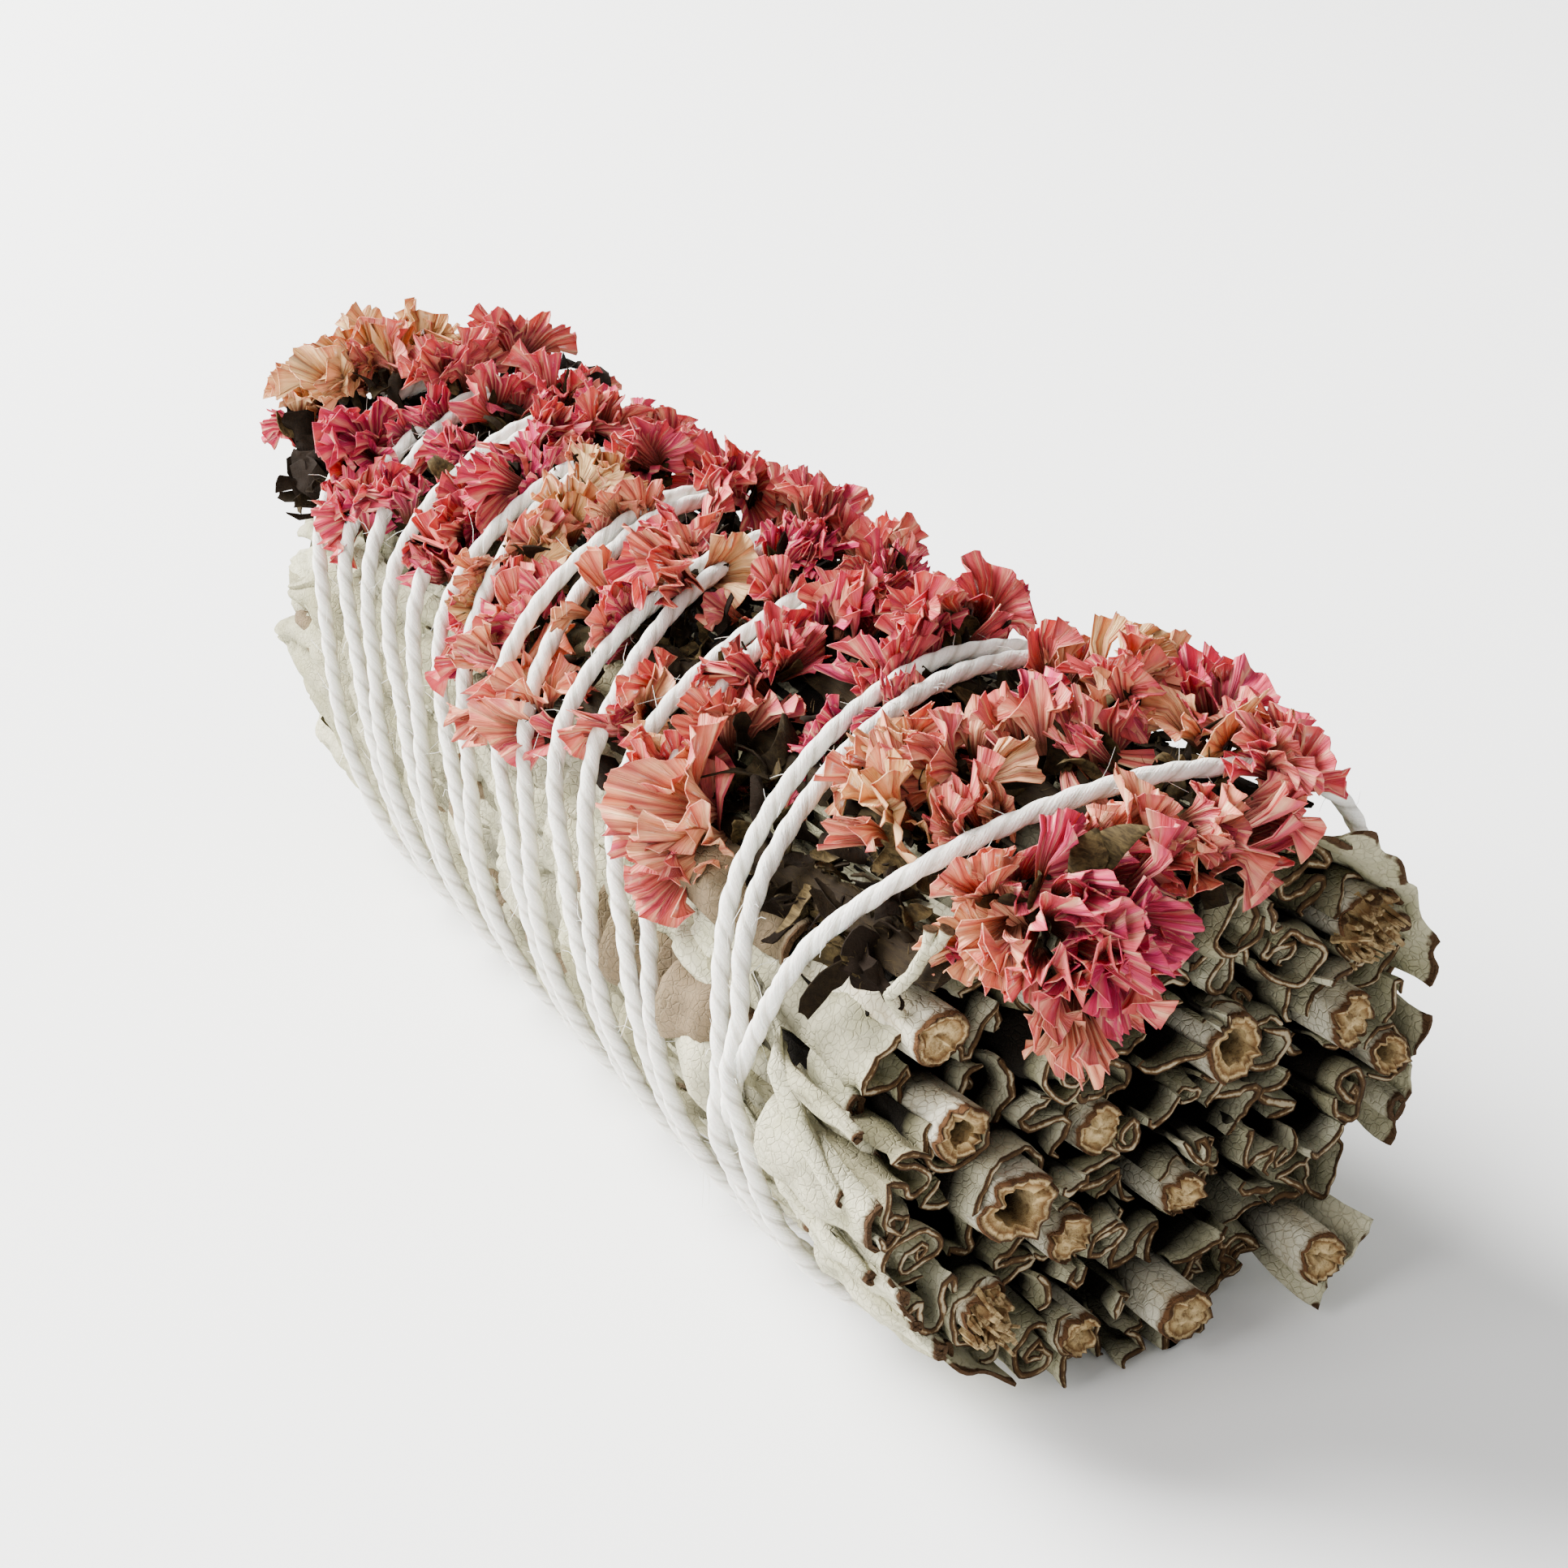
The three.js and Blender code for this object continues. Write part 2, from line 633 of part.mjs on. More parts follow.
function numbered(name, i) {
  return name + "_" + String(i + 1).padStart(2, "0");
}

const stringRoom = cottonString(cord.radius + clearance);
addNode("cotton_string", cottonString(cord.radius), looks.string);
stems.forEach((stem, k) => {
  addNode(numbered("sage_sprig", k), largest(sageSprig(k).subtract(stringRoom)), looks.sage);
});
let taken = stringRoom;
sprays.forEach((spray, i) => {
  const made = largest(staticeSpray(spray, 7 + 31 * i).subtract(taken));
  addNode(numbered("statice_spray", i), made, looks.statice);
  taken = join([taken, made]);
});

export default bundle;
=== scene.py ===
# A herb bundle of white sage and dried pink statice, wound with one cotton string, lying on its side.
# Layout sizes are in millimetres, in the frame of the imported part, and become metres in each mesh.
# Places on the bundle are given by u, the distance back from the cut end, an angle in degrees from the
# top that grows towards -Y, and a rise above the sage's outer skin.
import math
import bpy
import numpy as np
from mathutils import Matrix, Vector


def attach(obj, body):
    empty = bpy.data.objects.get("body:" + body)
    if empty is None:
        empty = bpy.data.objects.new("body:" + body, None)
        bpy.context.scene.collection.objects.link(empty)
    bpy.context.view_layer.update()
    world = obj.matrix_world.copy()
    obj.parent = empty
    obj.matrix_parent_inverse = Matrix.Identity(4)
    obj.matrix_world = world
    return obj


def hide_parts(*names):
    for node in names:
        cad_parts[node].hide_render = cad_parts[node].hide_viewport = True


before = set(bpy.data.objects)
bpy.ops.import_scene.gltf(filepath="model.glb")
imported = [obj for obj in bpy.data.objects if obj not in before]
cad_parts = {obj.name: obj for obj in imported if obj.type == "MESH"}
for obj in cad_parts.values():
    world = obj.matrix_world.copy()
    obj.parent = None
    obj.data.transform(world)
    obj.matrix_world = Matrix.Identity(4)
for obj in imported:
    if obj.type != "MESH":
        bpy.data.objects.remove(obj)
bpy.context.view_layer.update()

millimetre = 0.001
print("frame loaded:", len(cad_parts), "nodes")

# The sage's outer skin, as in the solids

cutX = 49.2  # where the cut end's plane crosses X
axisShare = 0.965  # the axis lies this share of the half height above the surface
skinStations = np.array([  # u, half width, half height, lift of the tip
    (-8, 21.2, 18.4, 0), (0, 21.0, 18.4, 0), (17, 19.8, 18.3, 0), (42, 17.8, 18.7, 0),
    (66, 15.4, 19.0, 0), (86, 13.7, 18.8, 0.5), (98, 12.8, 17.2, 2.2), (106, 11.0, 14.4, 4.4)])


def smooth(value, low, high):
    t = np.clip((np.asarray(value, float) - low) / (high - low), 0, 1)
    return t * t * (3 - 2 * t)


def mix(a, b, t):
    return a + (b - a) * t


def skinAt(u):
    u = np.asarray(u, float)
    s = skinStations
    n = len(s)
    k = np.arange(n)
    before, after = np.maximum(k - 1, 0), np.minimum(k + 1, n - 1)
    slopes = (s[after] - s[before]) / (s[after, 0] - s[before, 0])[:, None]
    i = np.clip(np.searchsorted(s[:, 0], u, side="left") - 1, 0, n - 2)
    span = (s[i + 1, 0] - s[i, 0])[..., None]
    t = np.clip((u[..., None] - s[i, :1]) / span, 0, 1)
    value = (s[i] * (1 + 2 * t) * (1 - t) ** 2 + slopes[i] * span * t * (1 - t) ** 2
             + s[i + 1] * t * t * (3 - 2 * t) + slopes[i + 1] * span * t * t * (t - 1))
    return value[..., 1], value[..., 2], value[..., 3]


def asPoints(x, y, z):
    return np.stack(np.broadcast_arrays(x, y, z), -1)


def onSkin(u, angle, rise, floor=-99.0):
    width, height, lift = skinAt(u)
    a = np.radians(angle)
    z = lift + axisShare * height + (height + rise) * np.cos(a)
    return asPoints(cutX - np.asarray(u, float), -(width + rise) * np.sin(a), np.maximum(z, floor))


sprigTurn = {"degrees": 4, "per": 19}  # the sprigs turn slowly to and fro about the axis


def turnAt(u):
    return sprigTurn["degrees"] * np.sin(np.asarray(u, float) / sprigTurn["per"])


def along(u, y, z):  # a point of the cut end's section, carried back along the bundle
    width, height, lift = skinAt(u)
    endWidth, endHeight, _ = skinAt(0)
    turn = np.radians(turnAt(u))
    a = y / endWidth
    b = (z - axisShare * endHeight) / endHeight
    across = a * np.cos(turn) - b * np.sin(turn)
    up = a * np.sin(turn) + b * np.cos(turn)
    high = np.maximum(lift + (axisShare + up) * height, lift + 0.2)
    return asPoints(cutX - np.asarray(u, float), across * width, high)


def whereAbout(points):  # u, angle and rise of points near the skin
    u = cutX - points[..., 0]
    width, height, lift = skinAt(u)
    dz = points[..., 2] - lift - axisShare * height
    angle = np.degrees(np.arctan2(-points[..., 1] / width, dz / height))
    share = np.hypot(points[..., 1] / width, dz / height)
    return u, angle, (share - 1) * (width + height) / 2


# Smooth value noise on a seeded lattice, for wrinkles and uneven edges

latticeSize = 32
lattice = np.random.default_rng(5).uniform(-1, 1, (latticeSize,) * 3)


def noise(points, size, shift=0.0):
    p = np.asarray(points, float) / size + shift
    cell = np.floor(p).astype(int)
    f = p - cell
    f = f * f * (3 - 2 * f)
    total = 0.0
    for corner in range(8):
        step = np.array([corner & 1, corner >> 1 & 1, corner >> 2])
        weight = np.prod(np.where(step, f, 1 - f), -1)
        x, y, z = np.moveaxis((cell + step) % latticeSize, -1, 0)
        total = total + weight * lattice[x, y, z]
    return total


def crumpled(points, size, shifts):  # three of them, one for each direction
    return np.stack([noise(points, size, shift) for shift in shifts], -1)


# Meshes are gathered in bags: points in millimetres, four-sided faces, and four numbers for each point
# that the materials read. On sage, tone differs from leaf to leaf, edge marks what is cut and way is
# painted shade, how dark it lies among the leaves, in a crease or against the string.
# On a calyx, edge marks its pleats, way runs to its rim and turn runs around it. On the
# string, tone and turn are the sine and cosine of the place around it, and way is the length.

numberNames = ("tone", "edge", "way", "turn")


def newBag():
    return {"points": [], "faces": [], "looks": [], **{name: [] for name in numberNames}, "count": 0}


def put(bag, points, faces, look, tone=0.5, edge=0.0, way=0.0, turn=0.0):
    points = points.reshape(-1, 3)
    faces = faces.reshape(-1, 4)
    n = len(points)
    bag["points"].append(points)
    bag["faces"].append(faces + bag["count"])
    bag["looks"].append(np.full(len(faces), look))
    for name, value in zip(numberNames, (tone, edge, way, turn)):
        bag[name].append(np.broadcast_to(np.asarray(value, float).ravel(), n))
    bag["count"] += n


lowest = 0.02  # no tube comes nearer to the floor than this


def gridFaces(rows, columns, wrapped=False):
    i = np.arange(rows - 1)[:, None]
    j = np.arange(columns if wrapped else columns - 1)[None, :]
    a = i * columns + j
    b = i * columns + (j + 1) % columns
    return np.stack([a, b, b + columns, a + columns], -1).reshape(-1, 4)


# A closed thin shell between two grids of points; wrapped joins its last column to the first
def shell(bag, outer, inner, look, tone=0.5, edge=0.0, way=0.0, wrapped=False, turn=0.0):
    rows, columns = outer.shape[:2]
    n = rows * columns
    faces = gridFaces(rows, columns, wrapped)
    parts = [faces, faces[:, ::-1] + n]

    def rim(line):
        a, b = line[:-1], line[1:]
        return np.stack([b, a, a + n, b + n], -1)

    index = np.arange(n).reshape(rows, columns)
    first, last = index[0], index[-1][::-1]
    if wrapped:
        first, last = np.append(first, first[0]), np.append(last, last[0])
    parts += [rim(first), rim(last)]
    if not wrapped:
        parts += [rim(index[:, -1]), rim(index[::-1, 0])]
    both = [np.broadcast_to(np.asarray(v, float), (rows, columns)) for v in (tone, edge, way, turn)]
    both = [np.stack([v, v]).ravel() for v in both]
    put(bag, np.stack([outer, inner]), np.concatenate(parts), look, *both)


def padded(values):  # the first and last once more, for the points that close the ends
    return np.concatenate([values[:1], values, values[-1:]])


def capped(rings):  # closed at the middle of the first and of the last ring
    first, last = (np.repeat(ring.mean(0)[None, None], rings.shape[1], 1) for ring in (rings[0], rings[-1]))
    return np.concatenate([first, rings, last])


# A tube round a line of points, closed at both ends to a point; radii may differ along it
def tube(bag, line, radii, sides, look, tone=0.5, edge=0.0, way=None, shape=1.0, turn=0.0):
    line = np.asarray(line, float)
    n = len(line)
    forward = np.gradient(line, axis=0)
    forward /= np.linalg.norm(forward, axis=1)[:, None]
    side = np.cross(forward, (0.31, 0.17, 0.93))
    side /= np.linalg.norm(side, axis=1)[:, None]
    up = np.cross(side, forward)
    a = np.linspace(0, 2 * np.pi, sides, endpoint=False)
    r = np.broadcast_to(np.asarray(radii, float), n)[:, None] * np.ones(sides) * shape
    rings = (line[:, None] + side[:, None] * (r * np.cos(a))[..., None]
             + up[:, None] * (r * np.sin(a))[..., None])
    start, end = (np.repeat(p, sides, 0)[None] for p in (line[:1], line[-1:]))
    points = np.concatenate([start, rings, end])
    points[..., 2] = np.maximum(points[..., 2], lowest)
    way = np.linspace(0, 1, n) if way is None else way
    numbers = [padded(np.broadcast_to(np.asarray(value, float), (n, sides)))
               for value in (tone, edge, way[:, None], turn)]
    put(bag, points, gridFaces(n + 2, sides, True)[:, ::-1], look, *numbers)


smallestFace = 1e-14  # square metres; the faces that close an end to a point are kept


def addObject(name, data):
    made = bpy.data.objects.new(name, data)
    bpy.context.scene.collection.objects.link(made)
    return made


def makePiece(name, bag, materials, nodes=(), sharp=50):
    mesh = bpy.data.meshes.new(name)
    points = np.concatenate(bag["points"]) * millimetre
    faces = np.concatenate(bag["faces"])
    corners = points[faces]
    area = np.linalg.norm(np.cross(corners[:, 2] - corners[:, 0], corners[:, 3] - corners[:, 1]), axis=1)
    keep = area > smallestFace
    faces, looks = faces[keep], np.concatenate(bag["looks"])[keep]
    mesh.vertices.add(len(points))
    mesh.vertices.foreach_set("co", points.astype(np.float32).ravel())
    mesh.loops.add(faces.size)
    mesh.loops.foreach_set("vertex_index", faces.astype(np.int32).ravel())
    mesh.polygons.add(len(faces))
    mesh.polygons.foreach_set("loop_start", np.arange(0, faces.size, 4, dtype=np.int32))
    mesh.polygons.foreach_set("material_index", looks.astype(np.int32))
    mesh.polygons.foreach_set("use_smooth", np.ones(len(faces), bool))
    mesh.update(calc_edges=True)
    for key in numberNames:
        layer = mesh.attributes.new(key, "FLOAT", "POINT")
        layer.data.foreach_set("value", np.concatenate(bag[key]).astype(np.float32))
    mesh.validate()
    mesh.set_sharp_from_angle(angle=math.radians(sharp))
    for material in materials:
        mesh.materials.append(material)
    piece = addObject(name, mesh)
    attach(piece, "root")
    if nodes:
        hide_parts(*nodes)
    print(name, "made:", 2 * len(faces), "triangles")


# The string's route, as in the solids: over the front, out to the tip and back again

frontWrap = np.array([  # angle, u
    (900, 16.9), (845, 16.6), (820, 16.0), (799, 13.9), (777, 10.4), (749, 5.4), (724, 2.6),
    (700, 1.6), (670, 2.2), (640, 4.4), (600, 8.0), (555, 11.2), (516, 12.9)])
winding = {"first": 16, "pitch": 10.2, "turns": 7.8, "startAngle": 516, "lean": 6.2, "leanAngle": -35,
           "sway": 0.6}
wayBack = {"turns": 6.8, "beside": 1.8, "spread": 3.2, "spreadAngle": 58, "spreadReach": 46,
           "crossFrom": 0.56, "lastFrom": 5.8, "lastBeside": -2.4}
cord = {
    "radius": 0.59,
    "restHeight": 0.66,
    "sideRise": 1.3,
    "topRise": 3.0,
    "topMiddle": 12,  # degrees, between the sprays it passes over
    "topReach": (38, 68),
    "plies": 2,
    "groove": 0.24,  # depth of the grooves between plies, as a share of the radius
    "twist": 4.4,  # length of one turn of the plies
    "step": 0.42,
    "sides": 10,
    "wobble": 0.07,
    "uneven": 0.05,
    "near": 2.2,  # radii from another pass at which it starts to climb over it
    "climb": 1.5,  # radii
}


def fromAngle(angle, other):
    return np.abs((np.asarray(angle, float) - other + 180) % 360 - 180)


def wrapU(pitches, angle):
    lean = winding["lean"] * (0.5 + 0.5 * smooth(pitches, 0, 2))
    return (winding["first"] + winding["pitch"] * pitches
            + lean * np.cos(np.radians(angle - winding["leanAngle"]))
            + winding["sway"] * np.sin(1.7 * pitches))


def frontRoute(step=2.0):  # the same spline through the points as in the solids
    p = frontWrap
    t = np.linspace(0, len(p) - 1, int((p[0, 0] - p[-1, 0]) / step) + 1)
    i = np.minimum(t.astype(int), len(p) - 2)
    f = (t - i)[:, None]
    p0, p1, p2, p3 = p[np.maximum(i - 1, 0)], p[i], p[i + 1], p[np.minimum(i + 2, len(p) - 1)]
    v0, v1 = (p2 - p0) / 2, (p3 - p1) / 2
    points = (2 * p1 - 2 * p2 + v0 + v1) * f ** 3 + (-3 * p1 + 3 * p2 - 2 * v0 - v1) * f ** 2 + v0 * f + p1
    return points[:, 1], points[:, 0]


def outRoute(step=2.0):
    turn = np.linspace(0, winding["turns"], int(winding["turns"] * 360 / step) + 1)
    angle = winding["startAngle"] - 360 * turn
    return wrapU(turn, angle), angle


def backRoute(step=2.0):
    w = wayBack
    more = np.linspace(0, w["turns"], int(w["turns"] * 360 / step) + 1)
    turn = winding["turns"] + more
    angle = winding["startAngle"] - 360 * turn
    crossed = np.floor(turn) - math.floor(winding["turns"]) + smooth(turn % 1, w["crossFrom"], 1)
    spread = w["spread"] * (1 - smooth(fromAngle(angle, w["spreadAngle"]), 0, w["spreadReach"]))
    last = smooth(more, w["lastFrom"], w["lastFrom"] + 0.5)
    beside = mix(w["beside"] + spread, w["lastBeside"], last)
    return wrapU(turn - 2 * crossed, angle) + beside * smooth(more, 0, 0.2), angle


frontU, frontAngle = frontRoute()
outU, outAngle = outRoute()
wayOut = np.concatenate([frontU[:-1], outU]), np.concatenate([frontAngle[:-1], outAngle])
stringRoutes = [wayOut, backRoute()]


def stringRise(angle):
    fromTop = fromAngle(angle, cord["topMiddle"])
    return mix(cord["topRise"], cord["sideRise"], smooth(fromTop, *cord["topReach"]))


def evenly(line, step):  # points along a line, at even steps
    lengths = np.append(0, np.cumsum(np.linalg.norm(np.diff(line, axis=0), axis=1)))
    at = np.linspace(0, lengths[-1], max(int(lengths[-1] / step), 2) + 1)
    return np.stack([np.interp(at, lengths, line[:, k]) for k in range(line.shape[1])], -1)


# Where one pass crosses another it lies over it, so each point is raised by the passes below it
def stringLines():
    near = cord["near"] * cord["radius"]
    kernel = np.hanning(9)
    below = np.zeros((0, 3))
    lines = []
    for u, angle in stringRoutes:
        rise = stringRise(angle)
        lift = skinAt(u)[2] + cord["restHeight"]
        points = onSkin(u, angle, rise, lift)
        raised = np.zeros(len(points))
        everything = np.concatenate([below, points])
        for i, p in enumerate(points):
            limit = len(below) + max(i - 40, 0)  # not the points just behind it
            if limit:
                distance = np.sqrt(((everything[:limit] - p) ** 2).sum(1).min())
                raised[i] = 1.0 - smooth(distance, 0.2 * near, near)
        raised = np.convolve(raised, kernel / kernel.sum(), "same") * cord["climb"] * cord["radius"]
        onFloor = smooth(points[:, 2] - lift, 0.02, 2.5)
        points = onSkin(u, angle, rise + raised * onFloor, lift)
        below = np.concatenate([below, points])
        lines.append(evenly(points, cord["step"]))
    return lines


strands = stringLines()


def buildString():
    bag = newBag()
    around = np.linspace(0, 2 * np.pi, cord["sides"], endpoint=False)
    for k, line in enumerate(strands):
        line = line + cord["wobble"] * noise(line, 3.0, k)[:, None] * np.array((0.5, 1, 1))
        line[:, 2] = np.maximum(line[:, 2], cord["radius"] + lowest)
        at = np.arange(len(line)) * cord["step"]
        turn = around[None] - 2 * np.pi * at[:, None] / cord["twist"]
        ply = np.abs(np.cos(turn * cord["plies"] / 2))
        ends = smooth(np.minimum(at, at[-1] - at), -0.8, 0.8)
        radii = cord["radius"] * (1.0 + cord["uneven"] * noise(line, 2.5, 9)) * ends
        tube(bag, line, radii, cord["sides"], 0, tone=np.sin(turn), way=at / 10,
             shape=1 + cord["groove"] * (ply - 0.75), turn=np.cos(turn))
    return bag


fuzz = {"count": 1300, "length": (0.5, 2.1), "radius": 0.024, "bend": 0.35, "sides": 3, "lowest": 0.03}


def buildFuzz():
    bag = newBag()
    rng = np.random.default_rng(22)
    line = np.concatenate(strands)
    t = np.linspace(0, 1, 3)[:, None]
    for _ in range(fuzz["count"]):
        i = rng.integers(10, len(line) - 10)
        forward = line[i + 2] - line[i - 2]
        forward /= np.linalg.norm(forward)
        out = rng.normal(size=3)
        out -= forward * out.dot(forward)
        out /= np.linalg.norm(out)
        length = rng.uniform(*fuzz["length"])
        lean = rng.uniform(-1, 1)
        bend = rng.normal(size=3) * fuzz["bend"]
        root = line[i] + out * cord["radius"] * 0.9
        path = root + length * (t * (out * 0.5 + forward * lean) + t * t * bend)
        path[:, 2] = np.maximum(path[:, 2], fuzz["lowest"])
        tube(bag, path, fuzz["radius"] * (1 - 0.6 * t[:, 0]), fuzz["sides"], 0, tone=rng.random(), turn=1.0)
    return bag


# The gap between passes of the string at each angle, for what is pressed down or squeezed between them

passStep = 3.0  # degrees
gapStep = 0.5


def passTable():
    angles = np.arange(-180, 181, passStep)
    table = []
    for angle in angles:
        found = []
        for u, a in stringRoutes:
            turns = np.arange(math.floor((a[-1] - angle) / 360), math.ceil((a[0] - angle) / 360) + 1)
            wanted = angle + 360 * turns
            wanted = wanted[(wanted > a[-1]) & (wanted < a[0])]
            found += list(np.interp(wanted, a[::-1], u[::-1]))
        table.append(np.sort(found))
    return table


passLists = passTable()
gapU = np.arange(-10, 112, gapStep)
passGap = np.array([np.abs(gapU[:, None] - passes[None]).min(1) for passes in passLists])


def fromString(u, angle):  # how far along the bundle the nearest pass is
    a = (np.asarray(angle, float) + 180) % 360 / passStep
    i = np.clip(a.astype(int), 0, len(passLists) - 2)
    b = np.clip((np.asarray(u, float) - gapU[0]) / gapStep, 0, len(gapU) - 1.001)
    a, b, i = np.broadcast_arrays(a, b, i)
    j = b.astype(int)
    f, g = a - i, b - j
    return ((passGap[i, j] * (1 - g) + passGap[i, j + 1] * g) * (1 - f)
            + (passGap[i + 1, j] * (1 - g) + passGap[i + 1, j + 1] * g) * f)


print("string route:", [round(float(len(s) * cord["step"])) for s in strands], "mm")


# Sage sprigs: a woody stem each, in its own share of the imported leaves

stems = [  # y and z at the cut end, radius, u where it is cut off, how its end looks
    (-15.2, 26.0, 2.1, 2.4, "pith"), (-14.8, 20.6, 1.9, 0.4, "hollow"), (-11.4, 15.9, 2.5, -1.4, "hollow"),
    (-7.2, 11.4, 1.7, -0.6, "pith"), (-4.6, 17.2, 1.7, 0.6, "pith"), (1.6, 11.4, 1.5, -0.6, "pith"),
    (5.2, 20.4, 2.2, -0.4, "hollow"), (13.8, 20.2, 1.8, -1.4, "pith"), (18.0, 16.4, 1.5, -1.0, "hollow"),
    (15.8, 25.6, 2.0, 0.0, "ragged"), (1.4, 4.2, 2.0, -2.6, "pith"), (-6.4, 4.6, 1.4, -1.2, "pith"),
    (12.2, 5.0, 1.6, -3.0, "pith"), (-13.6, 8.6, 1.7, -1.0, "ragged"), (-7.4, 27.4, 1.6, 1.8, "pith"),
    (1.2, 30.0, 1.6, 1.2, "pith")]
stemPlaces = np.array([s[:2] for s in stems])
stemRadii = np.array([s[2] for s in stems])
packed = {"rise": -1.5, "gap": 0.6, "stations": (7.5, 14, 24, 66, 88, 98, 101.5, 103.4),
          "shares": (0.97, 0.97, 0.97, 0.97, 0.97, 0.93, 0.75, 0.4),
          # shades: painted shade of the core at each station, near black at the front
          "shades": (1, 1, 0.55, 0.5, 0.5, 0.5, 0.6, 0.8)}
feltLook, barkLook, pithLook, cutLook = 0, 1, 2, 3  # material places on a sprig


# The part of the cut end's section that is nearer to one stem than to any other
def shareOutline(k):
    own = stemPlaces[k]
    outline = [p[1:] for p in onSkin(0, np.arange(0, 360, 15.0), packed["rise"], 0)]
    for other in np.delete(stemPlaces, k, 0):
        toOther = other - own
        halfway = np.linalg.norm(toOther) / 2
        toOther = toOther / (2 * halfway)
        past = [(p - own) @ toOther - halfway + packed["gap"] / 2 for p in outline]
        kept = []
        for i, p in enumerate(outline):
            following = (i + 1) % len(outline)
            q, before, after = outline[following], past[i], past[following]
            if before <= 0:
                kept.append(p)
            if (before <= 0) != (after <= 0):
                kept.append(p + (q - p) * before / (before - after))
        outline = kept
    return np.array(outline)


# The core is coloured near black as painted shade where it shows between the packed leaves
def addCore(bag, k):  # the inner leaves, of which only dark glimpses show
    outline = shareOutline(k)
    middle = outline.mean(0)
    u, share, shade = (np.array(packed[key])[:, None] for key in ("stations", "shares", "shades"))
    y, z = (middle[i] + share * (outline[None, :, i] - middle[i]) for i in (0, 1))
    rings = along(u, y, z)
    width, height, _ = skinAt(0)
    outside = smooth(np.hypot(outline[:, 0] / width, outline[:, 1] / height - axisShare), 0.78, 0.9)
    # painted shade, near black, less of it on the outer faces at the back
    shade = mix(1, mix(shade, 0.5, smooth(outline[None, :, 0], -2, 4)), outside[None])  # paler behind
    put(bag, capped(rings), gridFaces(len(rings) + 2, len(outline), True), feltLook, tone=0.15 + 0.04 * k,
        way=padded(shade))


# Stems

stemForm = {
    "reach": 34,
    "around": 44,
    "rows": 22,
    "uneven": 0.2,
    "knob": 0.16,
    "lean": 0.5,
    "broken": (0.5, 0.3),  # coarse and fine
    "clear": {"stem": 0, "share": 0.84, "reach": 60, "broken": 0.3},  # it stands clear: thinner, cleaner cut
    "splinters": 44,  # on a ragged end
    "hollow": 0.55,  # share of the radius that is open in a hollow one
    "deepest": 4.5,
}
endForms = {  # rings of the cut face: their share of the radius and how deep they lie
    "hollow": ((0.93, 0.8, 1, 0.97, 0.92, 0.8, 0.5, 0.02), (0, 0, 0.25, 1.0, 2.4, 4.0, 4.4, 4.5)),
    "solid": (0.93, 0.86, 0.74, 0.6, 0.45, 0.3, 0.15, 0.02)}
fork = [  # x, y, z along its stalk, then along its arms
    ((44.8, -16.4, 27.4), (45.6, -17.8, 29.4), (46.7, -17.0, 31.0), (47.2, -16.4, 32.6), (47.2, -16.2, 33.9)),
    ((47.1, -16.5, 32.3), (47.7, -16.0, 33.0), (48.0, -15.6, 34.0))]


def addFork(bag):
    for path in fork:
        line = evenly(np.array(path), 0.3)
        fromTip = np.arange(len(line))[::-1] * 0.3
        radii = 0.36 + 0.08 * noise(line, 0.6) + 0.16 * np.exp(-fromTip / 0.5)
        tube(bag, line, radii, 9, feltLook, tone=0.6, edge=np.exp(-fromTip / 0.25)[:, None], way=0 * fromTip)


def addSplinters(bag, rng, y, z, radius, cut):
    t = np.linspace(0, 1, 4)
    for _ in range(stemForm["splinters"]):
        a, share = rng.uniform(0, 2 * np.pi), rng.uniform(0.3, 1.05)
        fromY, fromZ = y + radius * share * math.cos(a), z + radius * share * math.sin(a)
        length = rng.uniform(0.3, 1.9)
        path = along(cut + 0.8 - t * (0.8 + length), fromY + t * rng.normal() * 0.6,
                     fromZ + t * rng.normal() * 0.6)
        tube(bag, path, rng.uniform(0.18, 0.5) * (1 - 0.6 * t), 4, pithLook, tone=rng.random(), edge=0.1,
             way=np.linspace(0.5, 0.9, 4))


